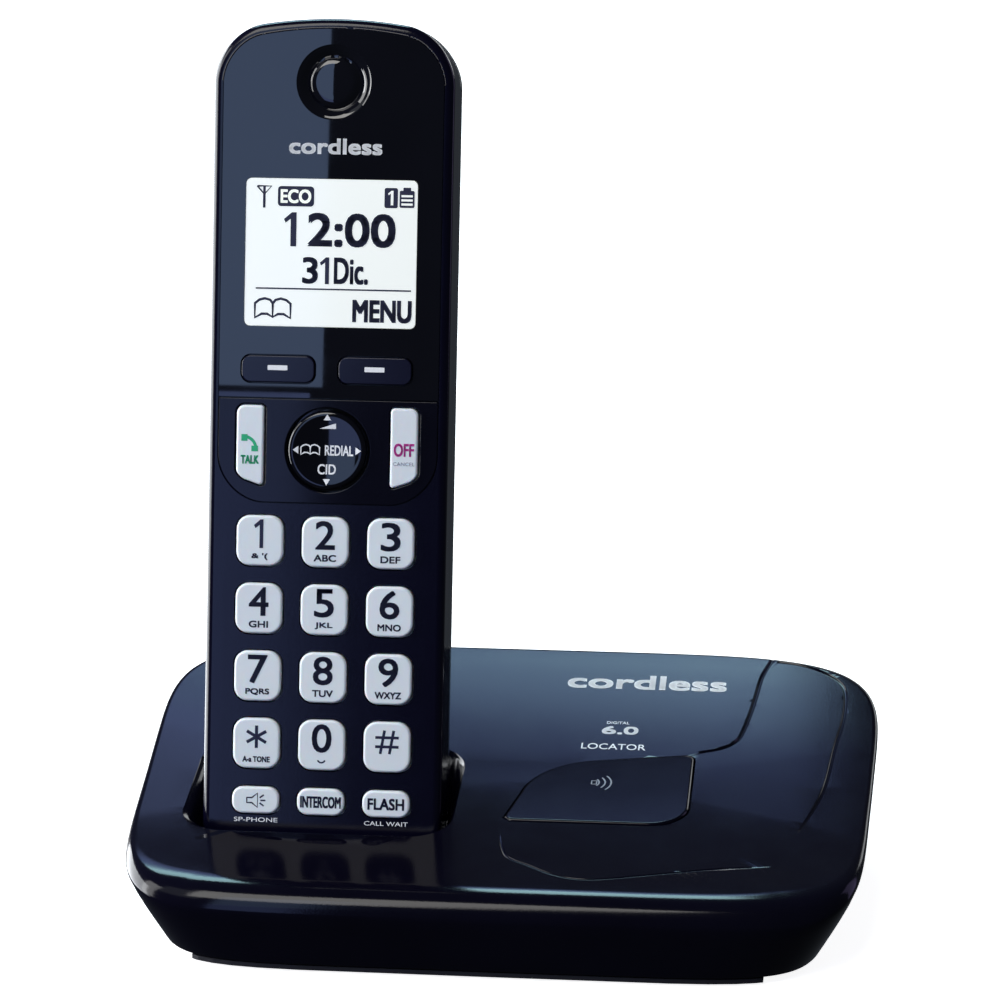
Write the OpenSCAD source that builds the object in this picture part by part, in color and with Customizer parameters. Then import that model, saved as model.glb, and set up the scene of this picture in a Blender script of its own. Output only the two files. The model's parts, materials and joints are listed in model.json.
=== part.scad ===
/* [Handset] */
// Width of the handset
handset_w = 47; // [46.5:0.25:48]
// Length of the handset
handset_l = 165; // [164:0.5:168]
// Depth of the handset at the battery cover
handset_d = 26; // [26:0.25:27]
// Depth of the thinner foot that stands in the cradle
foot_d = 24; // [23.5:0.25:24]
// Angle that the handset leans back
lean = 12; // [10:0.5:14]

/* [Keys] */
// Distance between key columns
key_pitch_x = 12.85; // [12.7:0.05:13]
// Distance between key rows
key_pitch_z = 13.24; // [13.1:0.02:13.3]
// Width of a number key
key_w = 9.3; // [8.5:0.1:9.5]
// Height of a number key
key_h = 9.9; // [9:0.1:10]
// How far a key stands out of the face
key_proud = 0.7; // [0.3:0.1:1]
// How far a key can be pressed
key_travel = 0.7; // [0.4:0.1:0.8]

/* [Base] */
// Width of the base
base_w = 145.2; // [144.6:0.2:147]
// Depth of the base
base_d = 104; // [103:0.5:108]
// Height of the base's top at its front edge
base_front_h = 17; // [16.5:0.25:18]
// Height of the base's top at its back edge
base_back_h = 34; // [33:0.5:35]
// How far the top sags below a straight slope
base_dip = 2.3; // [1.5:0.1:2.5]

/* [Hidden] */
NUMBER_KEYS = ["key_1", "key_2", "key_3", "key_4", "key_5", "key_6",
               "key_7", "key_8", "key_9", "key_star", "key_0", "key_hash"];
FUNCTION_KEYS = ["speaker_key", "intercom_key", "flash_key"];

body_colour = [0.05, 0.05, 0.11];
gloss_colour = [0.02, 0.02, 0.04];
key_colour = [0.82, 0.84, 0.86];
steel_colour = [0.72, 0.73, 0.75];
rubber_colour = [0.2, 0.2, 0.22];
board_colour = [0.1, 0.35, 0.2];
part_colour = [0.12, 0.12, 0.13];

gap = 0.1;
key_gap = 0.3;
wall = 1.8;

// Handset depths, counted back from its face
face_t = 2.4;
recess_t = 1.4;
edge_r = 1.6;
split = 11.5;
flange_t = 0.6;
flange_rim = 0.6;
flange_y = face_t + gap;
sheet_y = flange_y + flange_t + key_travel + gap;
board_y = sheet_y + 1.2;
board_t = 1.2;
back_in = foot_d - wall;
cover_in = handset_d - 1.9;

// Handset heights, counted up from its bottom end
row_1 = 63.5;
foot_h = 26;
cover_top = 82;
cover_w = 33;
grip_z = 72;
grip_w = 16;
grip_r = 18;
grip_sunk = 0.8;
rib_pitch = 2.4;
seam_z = 91.5;
tray_z = 71.5;
tray_w = 43;
tray_r = 9;
glass_inset = 2;
lcd_w = 33.6;
lcd_h = 28.7;
lcd_z = 119.65;
ear_z = 152.7;
nav_z = 81.4;
nav_r = 7.75;
nav_clear = 0.55;
nav_flange_y = 2.97;
nav_back_y = 3.32;
side_key_x = 15.1;
side_key_z = 82;
side_key_w = 5.4;
side_key_h = 15.8;
soft_key_x = [-9.9, 9.1];
soft_key_z = 97;
soft_key_w = 14.3;
soft_key_h = 5.2;
function_z = 12.6;
function_w = 9.4;
function_h = 5.3;
mic_z = 5.2;
dish_r = 5.6;
dish_groove_r = 1.6;
grille_pitch = 3;
grille_hole_r = 0.8;
speaker_z = 120;
speaker_r = 10;
case_screws = [[-14.5, 5.5], [14.5, 5.5], [-15.5, 149.5], [15.5, 149.5]];
cell_r = 5.25;
cell_l = 43.8;
nub_l = 0.8;
plate_t = 0.4;
cell_x = 5.5;
cell_y = 18.5;
bay_w = 25.2;
bay_z = 27;
bay_l = 50.2;
plate_x = 8;
post_r = 3.2;
post_hole_r = 1.1;
screw_head_r = 2;
screw_pit_r = 2.3;

// Where the bottom front edge of the handset stands, in the base's frame
seat = [-34.7, -21.2, 11];

// Base
plan_front = 7;
plan_back = 5.6;
spread = 0.028;
back_roll = 0.2;
base_floor = 1.4;
plinth_z = 0.4;
base_wall = 2;
side_taper = 7.7;
end_taper = 2.6;
lower_t = 2;
plinth_left = -56;
plinth_right = 53;
plinth_in = 0.2;
base_points = 48;
base_roll = [[0, 5], [0.5, 3], [1.7, 1.3], [3.6, 0.35], [6, 0]];
mouth_front = 0.6;
mouth_right = 0.5;
base_screw_x = 54;
base_screw_y = 37;
base_post_r = 3.5;
base_post_hole_r = 1.2;
foot_x = 46;
foot_y = 34;
base_board_z = 4.4;
base_board_t = 1.4;
jack_top = base_board_z + base_board_t + gap;
jack_face_y = 47.4;
power_x = 12;
power_w = 9;
power_h = 11;
power_bore_r = 2.8;
line_x = 36;
line_w = 13;
line_h = 12;
jack_l = 13;
button_at = [20, -6];
button_proud = 0.5;
pocket_floor = -0.5;

// Height of the base's top at a distance y from its middle
function top_z(y) = let (t = (y + base_d / 2) / base_d)
    base_front_h + (base_back_h - base_front_h) * t - 4 * base_dip * t * (1 - t);

button_slope = atan((top_z(button_at[1] + 1) - top_z(button_at[1] - 1)) / 2);

// Points of an arc about c
function arc(c, r, from, to, n = 6) = [for (i = [0 : n]) let (a = from + (to - from) * i / n)
    [c[0] + r * cos(a), c[1] + r * sin(a)]];

// A point of the base's plan, drawn in by ix at its sides and iy at its ends; the plan widens towards the back
function plan_point(k, ix, iy) = let (c = cos(360 * k / base_points), s = sin(360 * k / base_points),
    p = 2 / (s < 0 ? plan_front : plan_back), y = (base_d / 2 - iy) * sign(s) * pow(abs(s), p))
    [(base_w / 2 - ix) * sign(c) * pow(abs(c), p) * (1 + 2 * spread * y / base_d), y];

function plan(ix, iy) = [for (k = [0 : base_points - 1]) plan_point(k, ix, iy)];

// How much of the rolled edge a point of the plan has: all of it at the front, little of it at the back
function roll_share(k) = back_roll + (1 - back_roll) * min(1, max(0, -1.2 * sin(360 * k / base_points)));

// Points of a rectangle with round corners, of half sizes a and b
function rounded(a, b, r) = concat(
    arc([a - r, r - b], r, -90, 0), arc([a - r, b - r], r, 0, 90),
    arc([r - a, b - r], r, 90, 180), arc([r - a, r - b], r, 180, 270));

// Points of the handset's front view, drawn in by i; its top is arched
function case_outline(i) = let (a = handset_w / 2 - i, rb = max(8 - i, 0.6), rt = max(9.5 - i, 0.6), t = handset_l - i)
    [for (p = concat(arc([a - rb, i + rb], rb, -90, 0), arc([a - rt, t - rt], rt, 0, 90),
        [for (k = [-2 : 2]) [-k / 3 * (a - rt), t]], arc([rt - a, t - rt], rt, 90, 180),
        arc([rb - a, i + rb], rb, 180, 270)))
        [p[0], p[1] - (p[1] > handset_l / 2 ? 3.2 * pow(p[0] / a, 2) : 0)]];

function case_ring(depth, i) = [for (p = case_outline(i)) [p[0], p[1], -depth]];

// A ring of the base: level at height z, or under the sloping top by the roll's share and a fixed part
function level_ring(ix, iy, z) = [for (p = plan(ix, iy)) [p[0], p[1], z]];
function top_ring(roll, i, drop) = [for (k = [0 : base_points - 1]) let (f = roll_share(k),
    p = plan_point(k, roll[0] * f + i, roll[0] * f + i)) [p[0], p[1], top_z(p[1]) - roll[1] * f - drop]];

// A skin through rings with the same number of points, closed at both ends
module loft(rings) {
    n = len(rings[0]);
    last = (len(rings) - 1) * n;
    sides = [for (k = [0 : len(rings) - 2], i = [0 : n - 1]) let (a = k * n + i, b = k * n + (i + 1) % n)
        each [[a, b + n, b], [a, a + n, b + n]]];
    ends = [[for (i = [0 : n - 1]) i], [for (i = [n - 1 : -1 : 0]) last + i]];
    polyhedron([for (ring = rings) each ring], concat(sides, ends));
}

module in_handset() translate(seat) rotate([-lean, 0, 0]) children();

// A plate of the handset from depth d0 to depth d1; its outline is drawn as seen from the front
module slab(d0, d1) rotate([90, 0, 0]) translate([0, 0, -d1]) linear_extrude(d1 - d0) children();

// A round piece of the handset from depth d0 to depth d1
module peg(x, z, r, d0, d1) translate([x, d0, z]) rotate([-90, 0, 0]) cylinder(r = r, h = d1 - d0, $fn = 48);

module block(x, z, w, h) translate([x - w / 2, z - h / 2]) square([w, h]);

module soft_block(x, z, w, h, r) translate([x, z]) {
    square([w - 2 * r, h], center = true);
    square([w, h - 2 * r], center = true);
    for (sx = [-1, 1], sz = [-1, 1])
        translate([sx * (w / 2 - r), sz * (h / 2 - r)]) circle(r = r, $fn = 32);
}

function number_x(i) = (i % 3 - 1) * key_pitch_x;
function number_z(i) = row_1 - floor(i / 3) * key_pitch_z;

module number_outline(i, grow = 0)
    soft_block(number_x(i), number_z(i), key_w + 2 * grow, key_h + 2 * grow, 2.7 + grow);

module function_outline(i, grow = 0)
    soft_block(number_x(i), function_z, function_w + 2 * grow, function_h + 2 * grow, 2.2 + grow);

module soft_key_outline(i, grow = 0)
    soft_block(soft_key_x[i], soft_key_z, soft_key_w + 2 * grow, soft_key_h + 2 * grow, 1.8 + grow);

// The talk and off keys have their lower outer corner cut at a slant; side is -1 or 1
module side_key_outline(side, grow = 0) {
    w = side_key_w / 2 + grow;
    h = side_key_h / 2 + grow;
    translate([side * side_key_x, side_key_z]) mirror([side < 0 ? 1 : 0, 0])
        polygon(concat([[-w + 0.6, -h], [-w + 1.4, -h]], arc([w - 1, 1.6 - h + 2], 1, -50, 0, 3),
            arc([w - 1.6, h - 1.6], 1.6, 0, 90, 4), arc([-w + 0.8, h - 0.8], 0.8, 90, 180, 3),
            [[-w, -h + 0.6]]));
}

module glass_outline(grow = 0) intersection() {
    polygon(case_outline(glass_inset - grow));
    translate([-50, seam_z - grow]) square([100, 100]);
}

// The tray round the navigation key, straight at its top and round at its lower corners
module tray_outline(grow = 0) {
    a = tray_w / 2 + grow;
    top = seam_z - 0.25 + grow;
    low = tray_z - grow;
    polygon(concat([[0, low - 0.8]], arc([a - tray_r, low + tray_r + 0.4], tray_r, -80, 0),
        [[a, top], [-a, top]], arc([tray_r - a, low + tray_r + 0.4], tray_r, 180, 260)));
}

// A key: a cap through the face, and a flange behind it that keeps it in
module key_body(proud) {
    slab(-proud, flange_y + 0.05) children(0);
    slab(flange_y, flange_y + flange_t) children(1);
}

module handset_front_case() color(body_colour) in_handset() difference() {
    union() {
        difference() {
            rotate([90, 0, 0]) loft(concat([case_ring(split, 0)],
                [for (a = [0 : 30 : 90]) case_ring(edge_r * (1 - sin(a)), edge_r * (1 - cos(a)))]));
            slab(face_t, split + 1) polygon(case_outline(wall));
        }
        for (p = case_screws) peg(p[0], p[1], 2, face_t - 0.2, split);
    }
    slab(-1, recess_t) glass_outline(gap);
    slab(-1, recess_t) tray_outline(gap);
    slab(-1, split) block(0, lcd_z, lcd_w + 2, lcd_h + 2);
    slab(-1, split) for (i = [0 : len(NUMBER_KEYS) - 1]) number_outline(i, key_gap);
    slab(-1, split) for (i = [0 : 2]) function_outline(i, key_gap);
    slab(-1, split) for (i = [0, 1]) soft_key_outline(i, key_gap);
    slab(-1, split) for (side = [-1, 1]) side_key_outline(side, key_gap);
    peg(0, nav_z, nav_r + nav_clear, -1, split);
    peg(0, ear_z, 3, -1, split);
    peg(0, mic_z, 0.6, -1, split);
    for (p = case_screws) peg(p[0], p[1], 1, 4.6, split + 1);
}

module back_shell() difference() {
    rotate([90, 0, 0]) loft([case_ring(handset_d, 8.5), case_ring(handset_d - 0.6, 5.6),
        case_ring(foot_d, 3.4), case_ring(21, 1.3), case_ring(17, 0.3), case_ring(split + gap, 0)]);
    translate([-50, foot_d, -1]) cube([100, 10, foot_h + 1]);
}

module handset_back_case() color(body_colour) in_handset() difference() {
    union() {
        difference() {
            back_shell();
            slab(split, 20) polygon(case_outline(wall + 0.4));
            slab(split, back_in) polygon(case_outline(5));
        }
        // Battery bay: its floor and four walls
        slab(12, back_in + 0.4) block(0, bay_z + bay_l / 2, bay_w + 2.4, bay_l + 2.4);
        for (p = case_screws) peg(p[0], p[1], post_r, split + gap, back_in + 0.4);
    }
    slab(13.1, handset_d + 1) block(0, bay_z + bay_l / 2, bay_w, bay_l);
    translate([-cover_w / 2 - gap, cover_in - gap, foot_h - 1])
        cube([cover_w + 2 * gap, 9, cover_top - foot_h + 1 + gap]);
    for (p = case_screws) {
        peg(p[0], p[1], post_hole_r, split - 1, handset_d);
        peg(p[0], p[1], screw_pit_r, 14, handset_d + 1);
    }
    // Sound holes of the rear speaker
    for (ring = [0 : 2], k = [0 : max(ring * 6 - 1, 0)]) let (r = ring * grille_pitch, a = 60 / max(ring, 1) * k)
        peg(r * cos(a), speaker_z + r * sin(a), grille_hole_r, back_in - 1, handset_d + 1);
    slab(back_in - 3, back_in + 0.1) circle_at(0, speaker_z, speaker_r + 0.3);
    // Pockets of the charging plates
    for (side = [-1, 1])
        translate([side * plate_x - 2.6, 12.4, -1]) cube([5.2, 6.2, 2.6]);
}

module circle_at(x, z, r) translate([x, z]) circle(r = r, $fn = 48);

module display_window() color(gloss_colour) in_handset() difference() {
    slab(0, recess_t - gap / 2) glass_outline();
    for (i = [0, 1]) slab(-1, face_t) soft_key_outline(i, key_gap);
    // The earpiece dish is a round groove, with three sound slots in its floor
    translate([0, -0.6, ear_z]) rotate([-90, 0, 0]) rotate_extrude($fn = 64)
        translate([dish_r, 0]) circle(r = dish_groove_r, $fn = 24);
    for (a = [-35, 0, 35]) translate([0, 0, ear_z]) rotate([0, a, 0])
        slab(-1, face_t) soft_block(0, -2.2, 0.8, 1.8, 0.35);
}

module nav_bezel() color(gloss_colour) in_handset() difference() {
    slab(0, recess_t - gap / 2) tray_outline();
    slab(-1, face_t) for (side = [-1, 1]) side_key_outline(side, key_gap);
    peg(0, nav_z, nav_r + nav_clear, -1, face_t);
}

module display_module() color([0.85, 0.9, 0.88]) in_handset()
    slab(recess_t + gap, sheet_y - 1.2) block(0, lcd_z, lcd_w + 1, lcd_h + 1);

module display_frame() color(part_colour) in_handset() difference() {
    slab(face_t + gap, board_y - gap) block(0, lcd_z, lcd_w + 4, lcd_h + 4);
    slab(face_t - 1, sheet_y - 1.1) block(0, lcd_z, lcd_w + 1.2, lcd_h + 1.2);
}

module earpiece_speaker() color(part_colour) in_handset() {
    peg(0, ear_z, 6, face_t + gap, board_y);
    peg(0, ear_z, 4, board_y, board_y + 0.8);
}

module microphone() color(steel_colour) in_handset() peg(0, mic_z, 2.2, face_t + gap, face_t + 1.6);

module rear_speaker() color(part_colour) in_handset() {
    peg(0, speaker_z, speaker_r, back_in - 2.2, back_in);
    peg(0, speaker_z, 6, back_in - 4.4, back_in - 2.2);
}

// The rubber sheet behind the keys, with one round pill under each key
module key_sheet() color(rubber_colour) in_handset() difference() {
    slab(sheet_y, sheet_y + 1) soft_block(0, 54.8, 34.8, 92.4, 2);
    for (i = [0 : len(NUMBER_KEYS) - 1]) peg(number_x(i), number_z(i), 2.2, sheet_y + 0.5, board_y);
    for (i = [0 : 2]) peg(number_x(i), function_z, 1.8, sheet_y + 0.5, board_y);
}

module handset_board() color(board_colour) in_handset() {
    slab(board_y, board_y + board_t) soft_block(0, 76.8, 34.6, 135, 1.5);
    slab(board_y + board_t, board_y + board_t + 1.4) block(-6, 100, 9, 9);
    slab(board_y + board_t, board_y + board_t + 1.1) block(5, 104, 7, 5);
    slab(board_y + board_t, board_y + board_t + 2.2) block(0, 88, 11, 5);
}

// A bent metal strip that stands on the board
module handset_antenna() color(steel_colour) in_handset() {
    slab(board_y + board_t + 2.4, board_y + board_t + 2.8) block(12, 124, 5, 36);
    slab(board_y + board_t, board_y + board_t + 2.4) block(12, 106.2, 5, 0.4);
}

// The right cell stands nub up and the left one nub down, each pushed against its nub's plate
module in_bay(side) in_handset() translate([side * cell_x, cell_y, bay_z + bay_l / 2])
    mirror([0, 0, side > 0 ? 0 : 1]) translate([0, 0, -bay_l / 2]) children();

module battery_cells() color([0.2, 0.45, 0.3]) for (side = [-1, 1]) in_bay(side)
    translate([0, 0, bay_l - gap - plate_t - 0.05]) {
        translate([0, 0, -nub_l]) cylinder(r = 1.9, h = nub_l, $fn = 32);
        translate([0, 0, -nub_l - cell_l]) cylinder(r = cell_r, h = cell_l, $fn = 64);
    }

// Plates at both ends of the bay, with a conical coil at each cell's flat end
module battery_contacts() color(steel_colour) for (side = [-1, 1]) in_bay(side) {
    for (z = [gap, bay_l - gap - plate_t]) translate([-4.4, -3.5, z]) cube([8.8, 7, plate_t]);
    coil(3.6, 2.2, 0.28, 3.5, gap + plate_t + 0.2, bay_l - cell_l - nub_l - plate_t - gap - 0.4);
}

// A coil of wire from radius r0 at height z0 to radius r1 at height z1
module coil(r0, r1, wire, turns, z0, z1) loft([for (k = [0 : 12 * turns]) let (f = k / (12 * turns), a = 30 * k,
    r = r0 + (r1 - r0) * f, z = z0 + (z1 - z0) * f)
    [for (u = [0 : 60 : 300]) [(r + wire * cos(u)) * cos(a), (r + wire * cos(u)) * sin(a), z - wire * sin(u)]]]);

module handset_charge_plates() color(steel_colour) in_handset() for (side = [-1, 1])
    translate([side * plate_x - 2.5, 12.5, 0.9]) cube([5, 6, 0.6]);

module handset_screws() color(steel_colour) in_handset() for (p = case_screws) difference() {
    union() {
        peg(p[0], p[1], 0.95, 5.2, 14.2);
        peg(p[0], p[1], screw_head_r, 14.05, 15.6);
    }
    for (a = [0, 90]) translate([p[0], 15.3, p[1]]) rotate([0, a, 0]) cube([2.2, 0.8, 0.5], center = true);
}

// The battery cover, flush with the back, with a ribbed thumb grip and a guide rail under it
module battery_cover() color(body_colour) in_handset() {
    difference() {
        slab(cover_in, handset_d) block(0, (foot_h + cover_top) / 2, cover_w, cover_top - foot_h - 0.2);
        translate([0, handset_d + grip_r - grip_sunk, grip_z]) rotate([0, 90, 0])
            cylinder(r = grip_r, h = grip_w, center = true, $fn = 96);
    }
    for (k = [-1 : 1]) slab(handset_d - 1, handset_d - 0.2) block(0, grip_z + k * rib_pitch, grip_w - 2, 0.8);
}

// The rubber ring under the navigation key tips with it to the left and right
module nav_boss() color(rubber_colour) in_handset()
    peg(0, nav_z, 3.8, nav_back_y + 0.25, nav_back_y + 0.4);

module nav_key() color(gloss_colour) in_handset() {
    peg(0, nav_z, nav_r - 1.4, -0.6, 0);
    peg(0, nav_z, nav_r, -0.4, nav_back_y);
    peg(0, nav_z, nav_r + 1, nav_flange_y, nav_back_y);
}

module soft_key(i) color(gloss_colour) in_handset() key_body(0.3) {
    soft_key_outline(i);
    soft_key_outline(i, flange_rim);
}

module soft_key_left() soft_key(0);
module soft_key_right() soft_key(1);

module side_key(side) color(key_colour) in_handset() key_body(key_proud) {
    side_key_outline(side);
    side_key_outline(side, flange_rim);
}

module talk_key() side_key(-1);
module off_key() side_key(1);

module number_key(i) color(key_colour) in_handset() key_body(key_proud) {
    number_outline(i);
    number_outline(i, flange_rim);
}

module function_key(i) color(key_colour) in_handset() key_body(key_proud) {
    function_outline(i);
    function_outline(i, flange_rim);
}

// The base's outer form: a tapered wall, a rolled edge and a sagging slope
module base_form() loft(concat([level_ring(side_taper, end_taper, base_floor)],
    [for (roll = base_roll) top_ring(roll, 0, 0)],
    [for (i = [16, 28, 40, 51]) top_ring([0, 0], i, 0)]));

module base_hollow() loft(concat([level_ring(side_taper + base_wall, end_taper + base_wall, base_floor - 1),
    top_ring(base_roll[0], base_wall, 1.5), top_ring(base_roll[3], base_wall, base_wall)],
    [for (i = [8, 16, 28, 40, 51]) top_ring([0, 0], i, base_wall)]));

function pocket_ring(z, side, front, back, r) = let (b = (foot_d + front + back) / 2)
    [for (p = rounded(handset_w / 2 + side, b, r)) [p[0], p[1] + b - front, z]];

module pocket(grow) in_handset() loft([
    pocket_ring(pocket_floor - grow, 0.8 + grow, 0.8 + grow, grow - 3, 3),
    pocket_ring(4.5, 0.9 + grow, 0.9 + grow, 1 + grow, 3),
    pocket_ring(11, 1.1 + grow * 1.6, 1.1 + grow * 1.6, 1.6 + grow, 3),
    pocket_ring(26, 1.3 + grow * 2, 1.3 + grow * 2, 3.4 + grow * 1.6, 3)]);

// The cradle's mouth widens in a soft curve up to the sloping top, most in front and least on the right
module cradle_mouth() {
    near = seat[1] + 0.8;
    far = seat[1] + handset_d + 3;
    loft([for (s = [[0.9, 9], [1.2, 6], [2, 3], [3, 1.3], [4.3, 0], [4.6, -6]])
        let (front = mouth_front * (s[0] - 0.9), right = mouth_right * (s[0] - 0.9))
        [for (p = rounded(handset_w / 2 + s[0] - right / 2, (far - near + front) / 2 + s[0], 5 + s[0]))
            let (y = p[1] + (near + far - front) / 2) [p[0] + seat[0] - right / 2, y, top_z(y) - s[1]]]]);
}

module at_button() translate([button_at[0], button_at[1], top_z(button_at[1])]) rotate([button_slope, 0, 0]) children();

// The locator button's plan: a pointed left end, a long bowed edge and a round lower right corner
module button_outline(grow = 0) offset(delta = grow) polygon(concat(
    [[-18.9, -10.9], [-17.6, -12.2]], arc([9, -4.4], 7.8, -90, 0), arc([15.2, 15.4], 1.6, 0, 105, 3),
    arc([0.3, -3], 17, 103, 172)));

module base_bosses(r, top) for (sx = [-1, 1], sy = [-1, 1])
    translate([sx * base_screw_x, sy * base_screw_y, base_floor + lower_t + gap]) cylinder(r = r, h = top, $fn = 48);

module jack_hole(x, w, h) translate([x - w / 2 - gap, 40, jack_top - gap]) cube([w + 2 * gap, 20, h + 2 * gap]);

module base_upper_case() color(body_colour) difference() {
    union() {
        difference() {
            base_form();
            base_hollow();
        }
        intersection() {
            base_form();
            union() {
                pocket(wall);
                base_bosses(base_post_r, 40);
            }
        }
    }
    pocket(0);
    cradle_mouth();
    base_bosses(base_post_hole_r, 9);
    at_button() translate([0, 0, -10]) linear_extrude(20) button_outline(0.35);
    jack_hole(power_x, power_w, power_h);
    jack_hole(line_x, line_w, line_h);
    for (side = [-1, 1]) in_handset() translate([side * plate_x - 1.7, 11, -4]) cube([3.4, 9, 8]);
}

module base_lower_case() color(part_colour) difference() {
    union() {
        translate([0, 0, base_floor - gap]) linear_extrude(lower_t + gap)
            polygon(plan(side_taper + base_wall + gap, end_taper + base_wall + gap));
        translate([0, 0, plinth_z]) linear_extrude(base_floor - plinth_z - gap) intersection() {
            polygon(plan(side_taper + plinth_in, end_taper + plinth_in));
            translate([plinth_left, -base_d / 2]) square([plinth_right - plinth_left, base_d]);
        }
    }
    for (sx = [-1, 1], sy = [-1, 1]) {
        translate([sx * base_screw_x, sy * base_screw_y, -1]) cylinder(r = 3, h = 3.2, $fn = 48);
        translate([sx * base_screw_x, sy * base_screw_y, 0]) cylinder(r = 1.4, h = 5, $fn = 48);
        translate([sx * foot_x, sy * foot_y, -1]) cylinder(r = 5.1, h = 1 + base_floor, $fn = 48);
    }
}

module base_feet() color(rubber_colour) for (sx = [-1, 1], sy = [-1, 1])
    translate([sx * foot_x, sy * foot_y, 0]) cylinder(r = 5, h = base_floor - 0.05, $fn = 48);

module base_screws() color(steel_colour) for (sx = [-1, 1], sy = [-1, 1])
    translate([sx * base_screw_x, sy * base_screw_y, 0]) difference() {
        union() {
            translate([0, 0, 0.7]) cylinder(r = 2.6, h = 1.45, $fn = 48);
            translate([0, 0, 1]) cylinder(r = 1.15, h = 10, $fn = 48);
        }
        for (a = [0, 90]) rotate([0, 0, a]) translate([-1.4, -0.3, 0]) cube([2.8, 0.6, 1.4]);
    }

module base_board() color(board_colour) {
    translate([-3, -40, base_board_z]) cube([51, 82.5, base_board_t]);
    translate([5, 8, base_board_z + base_board_t]) cube([10, 10, 1.4]);
    translate([32, 12, base_board_z + base_board_t]) cube([8, 8, 1.2]);
    translate([24, -28, base_board_z + base_board_t]) cube([6, 5, 2]);
}

module base_antenna() color(steel_colour) {
    translate([44, -30, base_board_z + base_board_t]) cube([0.5, 30, 8]);
}

// The supply jack: a stepped round bore with a recessed centre pin
module power_jack() color(part_colour) translate([power_x, jack_face_y, jack_top + power_h / 2]) rotate([90, 0, 0]) {
    difference() {
        translate([-power_w / 2, -power_h / 2, 0]) cube([power_w, power_h, jack_l]);
        translate([0, 0, -1]) cylinder(r = power_bore_r, h = 5, $fn = 64);
        cylinder(r = power_bore_r - 0.3, h = 9.5, $fn = 64);
    }
    translate([0, 0, 4.6]) cylinder(r = 0.83, h = 5, $fn = 32);
}

// The line jack: a stepped opening with a slot for the plug's latch
module line_jack() color(part_colour) translate([line_x, jack_face_y, jack_top]) difference() {
    translate([-line_w / 2, -jack_l, 0]) cube([line_w, jack_l, line_h]);
    translate([-4.9, -11.5, 2.6]) cube([9.8, 12.5, 6.8]);
    translate([-3, -11.5, 1.1]) cube([6, 12.5, 2]);
}

// Two bent leaf springs that stand up through the cradle's floor
module cradle_contacts() color(steel_colour) in_handset() for (side = [-1, 1])
    translate([side * plate_x - 1.1, 0, 0]) rotate([90, 0, 90]) linear_extrude(2.2)
        polygon(concat([[3, -2.75], [12, -2.75]], arc([15.5, -1.45], 2.1, 140, 40), [[18.1, -1.1]],
            [[17.7, -1.2]], arc([15.5, -1.45], 1.75, 40, 140), [[12.3, -3.1], [3, -3.1]]));

module locator_switch() color(part_colour) translate([button_at[0], button_at[1] - 2, base_board_z + base_board_t]) {
    translate([-3, -3, 0]) cube([6, 6, 3.6]);
    cylinder(r = 1.7, h = 4.6, $fn = 32);
}

module locator_button() color(body_colour) at_button() {
    difference() {
        translate([0, 0, -4.5]) linear_extrude(4.5 + button_proud) button_outline();
        translate([0, 0, -5]) linear_extrude(3.5) button_outline(-1.4);
    }
    translate([0, 0, -4.5]) linear_extrude(1) difference() {
        button_outline(1.2);
        button_outline(-1.4);
    }
    translate([0, -1, -10.3]) cylinder(r = 2, h = 9.3, $fn = 32);
}

base_upper_case();
base_lower_case();
base_feet();
base_screws();
base_board();
base_antenna();
power_jack();
line_jack();
cradle_contacts();
locator_switch();
locator_button();
handset_front_case();
handset_back_case();
display_window();
nav_bezel();
display_module();
display_frame();
earpiece_speaker();
microphone();
rear_speaker();
key_sheet();
handset_board();
handset_antenna();
battery_cells();
battery_contacts();
handset_charge_plates();
handset_screws();
battery_cover();
nav_boss();
nav_key();
soft_key_left();
soft_key_right();
talk_key();
off_key();
for (i = [0 : len(NUMBER_KEYS) - 1]) number_key(i);
for (i = [0 : len(FUNCTION_KEYS) - 1]) function_key(i);
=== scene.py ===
import json
import math
import bpy
import bmesh
from mathutils import Matrix, Vector


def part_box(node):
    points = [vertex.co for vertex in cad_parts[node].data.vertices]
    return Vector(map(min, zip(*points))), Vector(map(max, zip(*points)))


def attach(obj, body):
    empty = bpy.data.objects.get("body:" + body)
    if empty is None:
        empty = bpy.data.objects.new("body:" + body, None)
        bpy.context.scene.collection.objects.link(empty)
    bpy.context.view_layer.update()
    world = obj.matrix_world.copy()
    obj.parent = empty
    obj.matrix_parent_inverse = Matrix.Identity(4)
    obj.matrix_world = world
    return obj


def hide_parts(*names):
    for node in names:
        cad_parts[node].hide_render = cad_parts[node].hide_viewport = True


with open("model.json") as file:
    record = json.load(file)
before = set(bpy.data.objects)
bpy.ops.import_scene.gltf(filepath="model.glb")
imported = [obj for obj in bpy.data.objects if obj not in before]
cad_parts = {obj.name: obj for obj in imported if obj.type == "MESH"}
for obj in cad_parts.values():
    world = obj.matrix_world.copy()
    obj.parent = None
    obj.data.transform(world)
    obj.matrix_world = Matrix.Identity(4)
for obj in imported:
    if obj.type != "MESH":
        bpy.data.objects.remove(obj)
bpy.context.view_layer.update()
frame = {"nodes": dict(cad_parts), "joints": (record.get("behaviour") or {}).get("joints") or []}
nodes = frame["nodes"]
joints = {joint["name"]: joint for joint in frame["joints"]}
print("frame loaded:", len(nodes), "nodes")

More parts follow.
